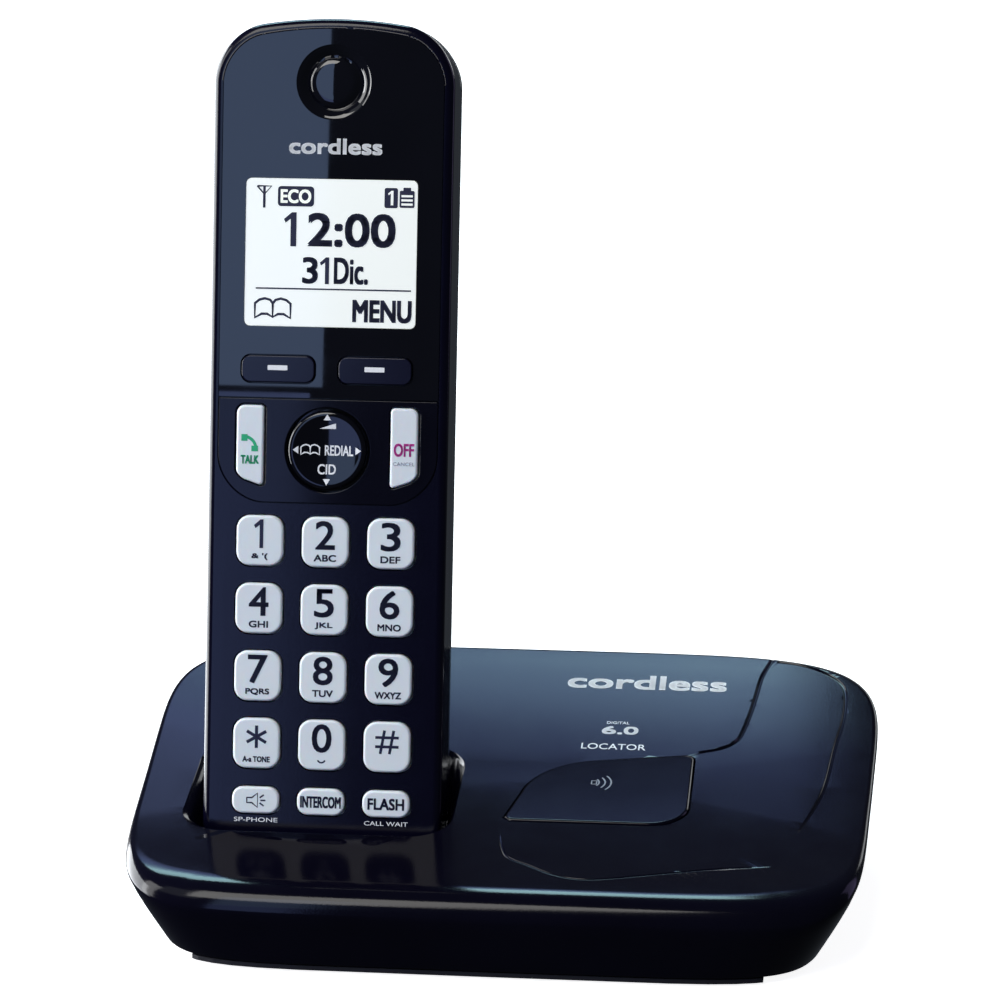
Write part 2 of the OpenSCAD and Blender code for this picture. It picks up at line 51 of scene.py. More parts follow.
# Shapes are drawn in millimetres. A handset piece is drawn upright with its face at y = 0, then set into the
# cradle.
stand = {"seatY": -21.2, "seatZ": 11.0}
caseLow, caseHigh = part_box("handset_front_case")
liftAxis = Vector(joints["handset_lift"]["axis"])
leanAngle = math.atan2(liftAxis.y, liftAxis.z)
seat = Vector(((caseLow.x + caseHigh.x) / 2, stand["seatY"] / 1000, stand["seatZ"] / 1000))
toMetres = Matrix.Scale(0.001, 4)
inCradle = Matrix.Translation(seat) @ Matrix.Rotation(-leanAngle, 4, "X") @ toMetres
inCradleMm = Matrix.Scale(1000, 4) @ inCradle
standUp = Matrix.Rotation(math.pi / 2, 4, "X")
lieDown = Matrix.Rotation(-math.pi / 2, 4, "X")


# Materials

class Wire:
    def __init__(self, finish, socket):
        self.finish = finish
        self.socket = socket

    def maths(self, operation, first, second):
        return self.finish.add("ShaderNodeMath", {"operation": operation}, {0: first, 1: second})

    def __add__(self, other):
        return self.maths("ADD", self, other)

    def __sub__(self, other):
        return self.maths("SUBTRACT", self, other)

    def __rsub__(self, other):
        return self.maths("SUBTRACT", other, self)

    def __mul__(self, other):
        return self.maths("MULTIPLY", self, other)

    __radd__ = __add__
    __rmul__ = __mul__


class Finish:
    def __init__(self, name, **constants):
        self.material = bpy.data.materials.new(name)
        self.material.use_nodes = True
        self.tree = self.material.node_tree
        self.shader = self.tree.nodes["Principled BSDF"]
        for socket, value in constants.items():
            self.shader.inputs[socket.replace("_", " ")].default_value = value
        self.place = self.add("ShaderNodeTexCoord", {}, {}, "Object")

    def add(self, kind, settings, inputs, output=0):
        node = self.tree.nodes.new(kind)
        for setting, value in settings.items():
            setattr(node, setting, value)
        for key, value in inputs.items():
            self.feed(node.inputs[key], value)
        return Wire(self, node.outputs[output])

    def feed(self, socket, value):
        if isinstance(value, Wire):
            self.tree.links.new(value.socket, socket)
        else:
            socket.default_value = value

    def noise(self, scale, detail=2.0, stretch=(1, 1, 1)):
        spot = self.add("ShaderNodeMapping", {}, {"Vector": self.place, "Scale": stretch})
        return self.add("ShaderNodeTexNoise", {}, {"Vector": spot, "Scale": scale, "Detail": detail}, "Fac")

    def blend(self, share, first, second):
        mix = {"data_type": "RGBA", "clamp_factor": True}
        return self.add("ShaderNodeMix", mix, {0: share, 6: (*first, 1), 7: (*second, 1)}, 2)

    def colour(self, value):
        self.feed(self.shader.inputs["Base Color"], value)

    def roughness(self, value):
        self.feed(self.shader.inputs["Roughness"], value)

    def relief(self, height, depth):
        bump = self.add("ShaderNodeBump", {}, {"Height": height, "Strength": 0.35, "Distance": depth})
        self.feed(self.shader.inputs["Normal"], bump)


# A moulded plastic: spark-eroded grain, slow patches of colour, and faint rubbed spots that shine more
def mouldedPlastic(name, deep, pale, rough, grain, grainDepth=0.00002, **constants):
    finish = Finish(name, **constants)
    patches = finish.noise(60, 3)
    rubbed = finish.noise(140, 4, (1, 1, 0.4))
    finish.colour(finish.blend(patches * 1.6 - 0.3, deep, pale))
    finish.roughness(rough + (rubbed - 0.5) * 0.05)
    if grainDepth:
        finish.relief(finish.noise(grain, 2) + patches * 0.3, grainDepth)
    return finish.material


# A polished plastic: nearly black, with hairline wipe marks in its shine only
def polishedPlastic(name, deep, pale, rough, **constants):
    finish = Finish(name, **constants)
    wiped = finish.noise(900, 3, (0.12, 1, 1))
    prints = finish.noise(90, 2)
    finish.colour(finish.blend(prints, deep, pale))
    finish.roughness(rough + wiped * 0.015 + prints * prints * 0.03)
    return finish.material


# Printing ink: slightly uneven cover; a glow above nought makes the ink shine by itself, which is painted
# light
def printedInk(name, colour, rough=0.4, glow=0.0):
    finish = Finish(name, Emission_Color=(*colour, 1), Emission_Strength=glow)
    cover = finish.noise(1500, 2)
    finish.colour(finish.blend(cover, colour, tuple(channel * 0.86 for channel in colour)))
    finish.roughness(rough + cover * 0.1)
    return finish.material


# Drawn or pressed metal: fine streaks along one way
def streakedMetal(name, deep, pale, rough, stretch):
    finish = Finish(name, Metallic=1.0)
    streaks = finish.noise(1800, 3, stretch)
    finish.colour(finish.blend(streaks, deep, pale))
    finish.roughness(rough + streaks * 0.15)
    finish.relief(streaks, 0.00001)
    return finish.material


def circuitBoard(name):
    finish = Finish(name)
    tracks = finish.add("ShaderNodeTexVoronoi", {"distance": "MANHATTAN"},
                        {"Vector": finish.place, "Scale": 420})
    finish.colour(finish.blend(tracks * 1.4 - 0.2, (0.008, 0.09, 0.03), (0.02, 0.17, 0.06)))
    finish.roughness(0.35 + tracks * 0.2)
    finish.relief(tracks, 0.00003)
    return finish.material


def displayGlass(name):
    finish = Finish(name, Coat_Weight=0.6, Coat_Roughness=0.06, Emission_Strength=0.36)
    upright = finish.add("ShaderNodeMapping", {}, {"Vector": finish.place, "Rotation": (math.pi / 2, 0, 0)})
    cells = finish.add("ShaderNodeTexBrick", {"offset": 0.0}, {
        "Vector": upright, "Color1": (0.84, 0.87, 0.82, 1), "Color2": (0.83, 0.86, 0.81, 1),
        "Mortar": (0.80, 0.83, 0.78, 1), "Scale": 900, "Mortar Size": 0.03,
        "Brick Width": 0.5, "Row Height": 0.5}, "Color")
    finish.colour(cells)
    finish.feed(finish.shader.inputs["Emission Color"], cells)
    finish.roughness(0.32 + finish.noise(300) * 0.06)
    return finish.material


finishes = {
    "body": mouldedPlastic("satin navy plastic", (0.0016, 0.0014, 0.0075), (0.0024, 0.0022, 0.0100),
                           0.14, 2600, Specular_IOR_Level=0.25),
    "baseTop": mouldedPlastic("satin navy base plastic", (0.0016, 0.0014, 0.0050), (0.0026, 0.0024, 0.0076),
                              0.11, 2600, Specular_IOR_Level=0.2),
    "lower": mouldedPlastic("textured black plastic", (0.006, 0.006, 0.010), (0.010, 0.010, 0.016),
                            0.5, 1800, 0.00006),
    "gloss": polishedPlastic("polished black panel", (0.0020, 0.0022, 0.0045), (0.0030, 0.0032, 0.0065),
                             0.004),
    "tray": polishedPlastic("half polished tray plastic", (0.0020, 0.0020, 0.0056), (0.0034, 0.0034, 0.0090),
                            0.07, Specular_IOR_Level=0.22),
    "navGloss": polishedPlastic("polished key plastic", (0.0012, 0.0013, 0.0030), (0.0022, 0.0023, 0.0050),
                                0.03, Specular_IOR_Level=0.40),
    "softKey": polishedPlastic("smoked key plastic", (0.0050, 0.0052, 0.0160), (0.0064, 0.0066, 0.0200),
                               0.14, Specular_IOR_Level=0.26),
    "key": mouldedPlastic("pale key plastic", (0.76, 0.82, 0.86), (0.80, 0.86, 0.89), 0.42, 1500, 0.000008,
                          Subsurface_Weight=0.15, Subsurface_Scale=0.001),
    "display": displayGlass("display glass"),
    "darkInk": printedInk("dark navy ink", (0.006, 0.006, 0.035)),
    # The white ink's faint glow is painted light that brightens the print
    "whiteInk": printedInk("white ink", (0.86, 0.88, 0.90), 0.45, 0.08),
    "greyInk": printedInk("grey ink", (0.30, 0.31, 0.36)),
    "greenInk": printedInk("green ink", (0.02, 0.45, 0.20)),
    "pinkInk": printedInk("magenta ink", (0.72, 0.06, 0.42)),
    "inner": mouldedPlastic("inner black plastic", (0.012, 0.012, 0.013), (0.020, 0.020, 0.022),
                            0.55, 1400, 0.00005),
    "rubber": mouldedPlastic("grey rubber", (0.030, 0.030, 0.034), (0.045, 0.045, 0.050),
                             0.78, 2200, 0.00008),
    "board": circuitBoard("green circuit board"),
    "spring": streakedMetal("nickel spring steel", (0.62, 0.60, 0.55), (0.74, 0.72, 0.67),
                            0.22, (1, 0.08, 1)),
    "screw": streakedMetal("zinc screw steel", (0.55, 0.56, 0.58), (0.68, 0.69, 0.72),
                           0.28, (0.1, 1, 1)),
    "cell": mouldedPlastic("cell wrap", (0.02, 0.16, 0.06), (0.03, 0.24, 0.10), 0.3, 900, 0.00002),
}
print("finishes made:", len(finishes))


# Mesh helpers

def addObject(name, data):
    made = bpy.data.objects.new(name, data)
    bpy.context.scene.collection.objects.link(made)
    return made


def shapedMesh(made):
    return bpy.data.meshes.new_from_object(made.evaluated_get(bpy.context.evaluated_depsgraph_get()))


# A curve's or a text's own mesh, with the drawing cleared away
def meshOf(name, curve):
    drawn = addObject(name, curve)
    mesh = shapedMesh(drawn)
    bpy.data.objects.remove(drawn)
    return mesh


# A flat upright face that looks at the viewer; corners from the lower left, counterclockwise
def roundFace(width, height, radii, x=0.0, z=0.0, depth=0.0, segments=8):
    bm = bmesh.new()
    bmesh.ops.create_grid(bm, x_segments=1, y_segments=1, size=0.5, matrix=standUp)
    bmesh.ops.scale(bm, vec=(width, 1, height), verts=bm.verts[:])
    order = sorted(bm.verts[:], key=lambda v: (v.co.z > 0, v.co.x * (-1 if v.co.z > 0 else 1)))
    for corner, radius in zip(order, radii):
        if radius > 0:
            bmesh.ops.bevel(bm, geom=[corner], offset=radius, offset_type="OFFSET", segments=segments,
                            profile=0.5, affect="VERTICES", material=-1)
    bmesh.ops.translate(bm, vec=(x, depth, z), verts=bm.verts[:])
    bm.normal_update()
    return bm


# Draws one face out along its normal; a face inside a closed shell is taken away behind it
def pull(bm, face, distance, first=False):
    ahead = face.normal.copy()
    grown = bmesh.ops.extrude_face_region(bm, geom=[face])["geom"]
    if not first:
        bmesh.ops.delete(bm, geom=[face], context="FACES_ONLY")
    moved = [part for part in grown if isinstance(part, bmesh.types.BMVert)]
    bmesh.ops.translate(bm, vec=ahead * distance, verts=moved)
    bm.normal_update()
    return [part for part in grown if isinstance(part, bmesh.types.BMFace)][0]


def softenRim(bm, face, width, segments=4):
    bmesh.ops.bevel(bm, geom=list(face.edges), offset=width, offset_type="OFFSET", segments=segments,
                    profile=0.5, affect="EDGES", clamp_overlap=True, material=-1)


def asPiece(name, bm, faceOut=True):
    if faceOut:
        bmesh.ops.recalc_face_normals(bm, faces=bm.faces[:])
    mesh = bpy.data.meshes.new(name)
    bm.to_mesh(mesh)
    bm.free()
    return addObject(name, mesh)


def bake(piece):
    shaped = shapedMesh(piece)
    old = piece.data
    piece.modifiers.clear()
    piece.data = shaped
    bpy.data.meshes.remove(old)
    return piece


# Cuts, or joins on, the other shapes and clears them away
def carve(piece, others, operation="DIFFERENCE"):
    for other in others:
        cut = piece.modifiers.new("cut", "BOOLEAN")
        cut.operation = operation
        cut.solver = "EXACT"
        cut.object = other
    bake(piece)
    for other in others:
        bpy.data.objects.remove(other)
    return piece


def gather(name, pieces):
    bm = bmesh.new()
    for piece in pieces:
        bm.from_mesh(piece.data)
        bpy.data.objects.remove(piece)
    return asPiece(name, bm, faceOut=False)


# Gives a finished shape its place, edges, finish, body, and the nodes that it stands for
def settle(piece, place, finish, body, replaced=(), rim=0.0, crease=32, weighted=True):
    piece.data.transform(place)
    bm = bmesh.new()
    bm.from_mesh(piece.data)
    for edge in bm.edges:
        edge.smooth = len(edge.link_faces) == 2 and edge.calc_face_angle(0) < math.radians(crease)
    for face in bm.faces:
        face.smooth = True
        face.material_index = 0
    bm.to_mesh(piece.data)
    bm.free()
    piece.data.materials.clear()
    piece.data.materials.append(finishes[finish])
    if rim:
        soft = piece.modifiers.new("rim", "BEVEL")
        soft.width = rim / 1000
        soft.segments = 2
        soft.limit_method = "ANGLE"
        soft.angle_limit = math.radians(50)
        soft.use_clamp_overlap = True
    if weighted:
        piece.modifiers.new("weights", "WEIGHTED_NORMAL").keep_sharp = not rim
    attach(piece, body)
    if replaced:
        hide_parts(*replaced)
    return piece


# Rings laid over each other from the first to the last; each point keeps its own share of the way round
def ringTower(name, pointOn, rings, count):
    bm = bmesh.new()
    way = bm.verts.layers.float.new("way")
    bmesh.ops.create_circle(bm, cap_ends=True, segments=count, radius=1)
    for v in bm.verts:
        v[way] = (math.atan2(v.co.y, v.co.x) / math.tau) % 1
        v.co = pointOn(rings[0], v[way])
    face = bm.faces[:][0]
    for number, ring in enumerate(rings[1:]):
        grown = bmesh.ops.extrude_face_region(bm, geom=[face])["geom"]
        if number:
            bmesh.ops.delete(bm, geom=[face], context="FACES_ONLY")
        face = [part for part in grown if isinstance(part, bmesh.types.BMFace)][0]
        for v in grown:
            if isinstance(v, bmesh.types.BMVert):
                v.co = pointOn(ring, v[way])
    return asPiece(name, bm)


# A point on a rectangle with round corners, at a share of the way round from the lower right corner
def onRounded(share, halfWidth, halfHeight, radius):
    corner = int(share * 4) % 4
    angle = math.radians(-90 + 90 * corner + 90 * (share * 4 % 1) * 1.0001)
    across = halfWidth - radius if corner in (0, 1) else radius - halfWidth
    up = halfHeight - radius if corner in (1, 2) else radius - halfHeight
    return across + radius * math.cos(angle), up + radius * math.sin(angle)


# Smooth stations through given ones: a cubic curve through rows of numbers
def smoothRows(rows, between):
    filled = []
    for k in range(len(rows) - 1):
        before, start, end = rows[max(k - 1, 0)], rows[k], rows[k + 1]
        after = rows[min(k + 2, len(rows) - 1)]
        for step in range(between):
            t = step / between
            filled.append([
                0.5 * (2 * b + (c - a) * t + (2 * a - 5 * b + 4 * c - d) * t * t
                       + (3 * b - a - 3 * c + d) * t ** 3)
                for a, b, c, d in zip(before, start, end, after)])
    return filled + [list(rows[-1])]


# Handset cases
caseShape = {"width": 47.0, "length": 164.96, "seam": 11.5, "lowRadius": 8.0, "highRadius": 9.5, "arch": 3.2,
             "wall": 1.8, "edge": 1.6, "faceWall": 2.4, "depth": 26.0}


def onCase(share, inset):
    halfWidth = caseShape["width"] / 2 - inset
    low = max(caseShape["lowRadius"] - inset, 0.6)
    high = max(caseShape["highRadius"] - inset, 0.6)
    top = caseShape["length"] - inset
    stretch = int(share * 5) % 5
    along = share * 5 % 1
    if stretch == 0:
        angle = math.radians(-90 + 90 * along)
        x, z = halfWidth - low + low * math.cos(angle), inset + low + low * math.sin(angle)
    elif stretch == 1:
        angle = math.radians(90 * along)
        x, z = halfWidth - high + high * math.cos(angle), top - high + high * math.sin(angle)
    elif stretch == 2:
        x, z = (halfWidth - high) * (1 - 2 * along), top
    elif stretch == 3:
        angle = math.radians(90 + 90 * along)
        x, z = high - halfWidth + high * math.cos(angle), top - high + high * math.sin(angle)
    else:
        angle = math.radians(180 + 90 * along)
        x, z = low - halfWidth + low * math.cos(angle), inset + low + low * math.sin(angle)
    if z > caseShape["length"] / 2:
        z -= caseShape["arch"] * (x / halfWidth) ** 2
    return x, z


def casePoint(ring, share):
    depth, inset = ring
    x, z = onCase(share, inset)
    return Vector((x, depth, z))


def caseSlice(name, rings, count=200):
    return ringTower(name, casePoint, rings, count)


keypad = {"pitchX": 12.85, "pitchZ": 13.24, "firstRow": 63.5, "width": 9.3, "height": 9.9, "corner": 2.7,
          "gap": 0.3, "proud": 0.7, "functionRow": 12.6, "functionWidth": 9.4, "functionHeight": 5.3,
          "functionCorner": 2.2}
numberKeys = ["key_1", "key_2", "key_3", "key_4", "key_5", "key_6", "key_7", "key_8", "key_9",
              "key_star", "key_0", "key_hash"]
functionKeys = ["speaker_key", "intercom_key", "flash_key"]
softKeys = {"soft_key_left": -9.9, "soft_key_right": 9.1}
capShape = {"flange": 0.6, "back": 3.1, "flangeThick": 0.6}
softKeyShape = {"z": 97.0, "width": 14.3, "height": 5.2, "corner": 1.8}
sideKeys = {"talk_key": -1, "off_key": 1}
sideKeyShape = {"x": 15.1, "z": 82.0, "width": 5.4, "height": 15.8, "slant": 1.9}
navShape = {"z": 81.4, "hollow": -0.06, "curve": 0.0128, "hole": 8.3}
trayShape = {"width": 43.0, "low": 71.5, "high": 91.25, "radius": 9.0, "dip": 0.8}
glassShape = {"inset": 2.0, "low": 91.5, "thick": 1.35}
displayShape = {"z": 119.65, "width": 33.6, "height": 28.7, "corner": 1.1}
earShape = {"z": 152.7, "slotTurns": (148, 180, 212), "slotUp": -5.0, "slotWidth": 1.6, "slotHeight": 0.5,
            "profile": [(7.55, -0.4), (7.3, 0.01), (6.9, 0.13), (6.5, 0.31), (6.2, 0.48), (5.9, 0.69),
                        (5.4, 1.12), (5.2, 1.22), (4.9, 1.02), (4.5, 0.72), (4.1, 0.5), (3.7, 0.39),
                        (3.4, 0.345), (2.4, 0.32), (0.001, 0.3)]}
screwSpots = [(-14.5, 5.5), (14.5, 5.5), (-15.5, 149.5), (15.5, 149.5)]


def block(name, width, height, radii, x, z, front, back, segments=8):
    bm = roundFace(width, height, radii, x, z, back, segments=segments)
    pull(bm, bm.faces[:][0], back - front, first=True)
    return asPiece(name, bm)


# Number and function keys are keyed by name to centre, size and corner
def keyPlan():
    plan = {}
    for number, name in enumerate(numberKeys):
        x = (number % 3 - 1) * keypad["pitchX"]
        z = keypad["firstRow"] - number // 3 * keypad["pitchZ"]
        plan[name] = (x, z, keypad["width"], keypad["height"], [keypad["corner"]] * 4)
    for number, name in enumerate(functionKeys):
        x = (number - 1) * keypad["pitchX"]
        plan[name] = (x, keypad["functionRow"], keypad["functionWidth"], keypad["functionHeight"],
                      [keypad["functionCorner"]] * 4)
    for name, x in softKeys.items():
        plan[name] = (x, softKeyShape["z"], softKeyShape["width"], softKeyShape["height"],
                      [softKeyShape["corner"]] * 4)
    for name, side in sideKeys.items():
        corners = [1.9, 1.0, 0.8, 1.6] if side < 0 else [1.0, 1.9, 1.6, 0.8]
        plan[name] = (side * sideKeyShape["x"], sideKeyShape["z"], sideKeyShape["width"],
                      sideKeyShape["height"], corners)
    return plan


keys = keyPlan()


def keyHole(name, front, back):
    x, z, width, height, corners = keys[name]
    gap = keypad["gap"]
    radii = [corner + gap for corner in corners]
    hole = block("hole", width + 2 * gap, height + 2 * gap, radii, x, z, front, back)
    if name in sideKeys:
        slantCorner(hole.data, name, gap)
    return hole


# The talk and off keys are cut at a slant at their lower outer corner
def slantCorner(mesh, name, grow=0.0):
    side = sideKeys[name]
    low = sideKeyShape["z"] - sideKeyShape["height"] / 2 - grow
    for v in mesh.vertices:
        out = side * v.co.x - (sideKeyShape["x"] - sideKeyShape["width"] / 2 - grow)
        share = max(0.0, 1 - (v.co.z - low) / 7.0)
        v.co.z += sideKeyShape["slant"] * (out / sideKeyShape["width"]) * share


def lathe(name, profile, x, z, steps=96):
    bm = bmesh.new()
    points = [bm.verts.new((radius, 0, -depth)) for radius, depth in profile]
    edges = [bm.edges.new(pair) for pair in zip(points, points[1:])]
    bmesh.ops.spin(bm, geom=points + edges, cent=(0, 0, 0), axis=(0, 0, 1), dvec=(0, 0, 0), angle=math.tau,
                   steps=steps, use_merge=True, use_duplicate=False)
    bmesh.ops.remove_doubles(bm, verts=bm.verts[:], dist=0.002)
    bmesh.ops.holes_fill(bm, edges=[edge for edge in bm.edges if edge.is_boundary], sides=0)
    bmesh.ops.rotate(bm, cent=(0, 0, 0), matrix=Matrix.Rotation(math.pi / 2, 3, "X"), verts=bm.verts[:])
    bmesh.ops.translate(bm, vec=(x, 0, z), verts=bm.verts[:])
    return asPiece(name, bm)


def rod(name, radius, front, back, x, z, steps=96):
    return lathe(name, [(0.001, front), (radius, front), (radius, back), (0.001, back)], x, z, steps)


def trayPlate(grow, front, back):
    width, low, high = trayShape["width"] + 2 * grow, trayShape["low"] - grow, trayShape["high"] + grow
    radius = trayShape["radius"]
    plate = block("tray", width, high - low, [radius, radius, 0.3, 0.3], 0, (high + low) / 2, front, back, 16)
    for v in plate.data.vertices:
        if v.co.z < low + 4:
            bow = 1 - min(1, abs(v.co.x) / (width / 2)) ** 2
            v.co.z -= trayShape["dip"] * bow * (1 - (v.co.z - low) / 4)
    return plate


def glassPlate(grow, front, back):
    inset = glassShape["inset"] - grow
    plate = caseSlice("glass", [(back, inset), (front, inset)])
    below = block("below", 60, 120, [0] * 4, 0, glassShape["low"] - grow - 60, front - 2, back + 2)
    return carve(plate, [below])


def frontCase():
    edge = caseShape["edge"]
    rings = [(caseShape["seam"], 0)]
    turns = [math.radians(11.25 * k) for k in range(9)]
    rings += [(edge * (1 - math.sin(turn)), edge * (1 - math.cos(turn))) for turn in turns]
    rings += [(0, edge + 2.5)]
    case = caseSlice("handsetFrontCase", rings)
    wall = caseShape["wall"]
    hollow = caseSlice("hollow", [(caseShape["seam"] + 1, wall), (caseShape["faceWall"], wall)])
    recesses = [glassPlate(0.12, -1, 1.4), trayPlate(0.12, -1, 1.4)]
    recesses.append(block("displayHole", 35.6, 30.7, [1] * 4, 0, displayShape["z"], -1, caseShape["seam"]))
    holes = [keyHole(name, -1, caseShape["seam"]) for name in keys]
    holes.append(rod("navHole", navShape["hole"], -2, 9, 0, navShape["z"]))
    holes.append(rod("micHole", 0.6, -1, 9, 0, 5.2, 24))
    carve(case, [hollow] + recesses)
    carve(case, [gather("holes", holes)])
    settle(case, inCradle, "body", "handset", ["handset_front_case"], rim=0.12)


def backCase():
    rows = smoothRows([(11.62, 0), (14, 0.06), (17, 0.3), (21, 1.3), (24, 3.4), (25.4, 5.6), (25.97, 8.2)], 3)
    rings = [(depth, max(inset, 0)) for depth, inset in rows]
    rings += [(caseShape["depth"], 9.5), (caseShape["depth"], 14)]
    case = caseSlice("handsetBackCase", rings)
    cuts = [caseSlice("hollow", [(11, 2.2), (20, 2.2), (20.05, 5), (22.2, 5)])]
    footCut = block("foot", 60, 27, [0] * 4, 0, 12.5, 24, 30)
    coverSlot = block("slot", 33.2, 57.1, [1.2] * 4, 0, 53.55, 24, 30)
    carve(case, cuts + [footCut, coverSlot])
    posts = [rod("post", 3.2, 11.62, 22.3, x, z, 48) for x, z in screwSpots]
    bayWalls = block("bay", 27.6, 52.6, [1] * 4, 0, 52.1, 12, 22.5)
    carve(case, [gather("posts", posts), bayWalls], "UNION")
    cuts = [block("bayHollow", 25.2, 50.2, [0.5] * 4, 0, 52.1, 13.1, 27)]
    pit = [(0.001, 11), (1.1, 11), (1.1, 14), (2.3, 14), (2.3, 27), (0.001, 27)]
    cuts += [lathe("screwPit", pit, x, z, 40) for x, z in screwSpots]
    for ring in range(3):
        for k in range(max(ring * 6, 1)):
            angle = math.tau * k / max(ring * 6, 1)
            cuts.append(rod("soundHole", 0.8, 21, 27,
                            ring * 3 * math.cos(angle), 120 + ring * 3 * math.sin(angle), 20))
    carve(case, [gather("cuts", cuts)])
    carve(case, [block("platePocket", 5.2, 1.6, [0.2] * 4, side * 8, z, 12.4, 18.6)
                 for z in (0.8, -0.4) for side in (-1, 1)])
    settle(case, inCradle, "body", "handset", ["handset_back_case"], rim=0.12)


def batteryCover():
    cover = block("batteryCover", 33.0, 55.8, [1.2] * 4, 0, 54.0, 24.1, 26.0)
    grip = rod("grip", 18, -8, 8, 0, 0, 160)
    grip.data.transform(Matrix.Translation((0, 26 + 17.2, 72)) @ Matrix.Rotation(math.pi / 2, 4, "Z"))
    carve(cover, [grip])
    ribs = [block("rib", 14, 0.8, [0.35] * 4, 0, 72 + k * 2.4, 25.0, 25.8) for k in (-1, 0, 1)]
    carve(cover, ribs, "UNION")
    arrow = roundFace(5.5, 3.2, [0.2] * 4, 0, 62, 25.6)
    pull(arrow, arrow.faces[:][0], -1, first=True)
    for v in arrow.verts:
        v.co.x *= max(0.05, (v.co.z - 60.4) / 3.2)
    carve(cover, [asPiece("arrow", arrow)])
    settle(cover, inCradle, "body", "battery_cover", ["battery_cover"], rim=0.2)


def glossPanel():
    panel = glassPlate(0, 0, glassShape["thick"])
    cuts = [keyHole(name, -1, 3) for name in softKeys]
    cuts.append(block("window", displayShape["width"], displayShape["height"], [displayShape["corner"]] * 4,
                      0, displayShape["z"], -1, 3))
    carve(panel, cuts)
    carve(panel, [lathe("dish", earShape["profile"], 0, earShape["z"], 128)])
    slots = []
    for turn in earShape["slotTurns"]:
        slot = block("slot", earShape["slotWidth"], earShape["slotHeight"], [0.24] * 4, 0, earShape["slotUp"],
                     -1, 1.3)
        turned = Matrix.Rotation(math.radians(turn), 4, "Y")
        slot.data.transform(Matrix.Translation((0, 0, earShape["z"])) @ turned)
        slots.append(slot)
    carve(panel, slots)
    settle(panel, inCradle, "gloss", "handset", ["display_window"], rim=0.1)
    window = block("displayPlate", displayShape["width"] - 0.1, displayShape["height"] - 0.1,
                   [displayShape["corner"]] * 4, 0, displayShape["z"], 0.05, 1.3)
    settle(window, inCradle, "display", "handset", rim=0.05)


def navTray():
    tray = trayPlate(0, 0, glassShape["thick"])
    cuts = [keyHole(name, -1, 3) for name in sideKeys]
    cuts.append(rod("navHole", navShape["hole"], -2, 3, 0, navShape["z"], 128))
    carve(tray, cuts)
    settle(tray, inCradle, "tray", "handset", ["nav_bezel"], rim=0.18)


# How far behind the handset's face the navigation key's dish lies
def navDish(radius):
    return navShape["hollow"] - navShape["curve"] * radius ** 2


def navKey():
    dish = [(radius, navDish(radius)) for radius in (0.001, 0.8, 1.6, 2.4, 3.2, 4.0, 4.7, 5.3, 5.8, 6.2, 6.5)]
    dish += [(6.8, -0.63), (7.2, -0.58), (7.5, -0.42), (7.68, -0.18), (7.75, 0.2), (7.75, 2.97), (8.75, 2.97),
             (8.75, 3.32), (0.001, 3.32)]
    key = lathe("navKey", dish, 0, navShape["z"], 128)
    settle(key, inCradle, "navGloss", "nav_key", ["nav_key"])


# A cap that stands on a wider flange and has a soft rim
def keyCap(name, proud, finish, rim=0.55):
    x, z, width, height, corners = keys[name]
    flange, back, thick = capShape["flange"], capShape["back"], capShape["flangeThick"]
    radii = [corner + flange for corner in corners]
    bm = roundFace(width + 2 * flange, height + 2 * flange, radii, x, z, back)
    face = pull(bm, bm.faces[:][0], thick, first=True)
    bmesh.ops.inset_region(bm, faces=[face], thickness=flange, use_even_offset=True, use_boundary=True)
    bm.normal_update()
    face = pull(bm, face, back - thick + proud)
    softenRim(bm, face, rim)
    cap = asPiece("cap_" + name, bm)
    if name in sideKeys:
        slantCorner(cap.data, name)
    settle(cap, inCradle, finish, name, [name])
    cap.visible_glossy = finish != "key"


frontCase()
backCase()
batteryCover()
print("handset cases done")
glossPanel()
navTray()
navKey()
for name in numberKeys + functionKeys:
    keyCap(name, keypad["proud"], "key")
for name in sideKeys:
    keyCap(name, keypad["proud"], "key", rim=0.5)
for name in softKeys:
    keyCap(name, 0.3, "softKey", rim=0.25)
print("panels and keys done")


# Printing and display marks: thin closed shapes that stand on a face

def wordMark(words, x, z, width, height, front, thick=0.05, bold=0.0):
    curve = bpy.data.curves.new("word", "FONT")
    curve.body = words
    curve.extrude = 0.02
    curve.resolution_u = 4
    mesh = meshOf("word", curve)
    points = [v.co for v in mesh.vertices]
    left, right = min(p.x for p in points), max(p.x for p in points)
    low, high = min(p.y for p in points), max(p.y for p in points)
    across = (width - 2 * bold) / (right - left)
    up = (height - 2 * bold) / (high - low)
    centred = Matrix.Translation((-(left + right) / 2, -(low + high) / 2, 0))
    fit = Matrix.Diagonal((across, up, thick / 0.04, 1)) @ centred
    mesh.transform(Matrix.Translation((x, front - thick / 2, z)) @ standUp @ fit)
    layers = []
    for aside, above in ((-1, -1), (1, -1), (1, 1), (-1, 1)) if bold else ((0, 0),):
        shifted = mesh.copy()
        shifted.transform(Matrix.Translation((aside * bold, 0, above * bold)))
        layers.append(addObject("word", shifted))
    return gather("word", layers)


def outlineFace(bm, corners, ahead):
    edges = [bm.edges.new(pair) for pair in zip(corners, corners[1:] + corners[:1])]
    bmesh.ops.contextual_create(bm, geom=edges)
    bm.normal_update()
    face = bm.faces[:][0]
    if face.normal.dot(Vector(ahead)) < 0:
        bmesh.ops.reverse_faces(bm, faces=[face])
        bm.normal_update()
    return face


def shapeMark(points, front, thick=0.05):
    bm = bmesh.new()
    face = outlineFace(bm, [bm.verts.new((x, front, z)) for x, z in points], (0, -1, 0))
    pull(bm, face, thick, first=True)
    return asPiece("mark", bm)


def barMark(x, z, width, height, front, thick=0.05, corner=0.0):
    return block("bar", width, height, [corner] * 4, x, z, front - thick, front, 4)


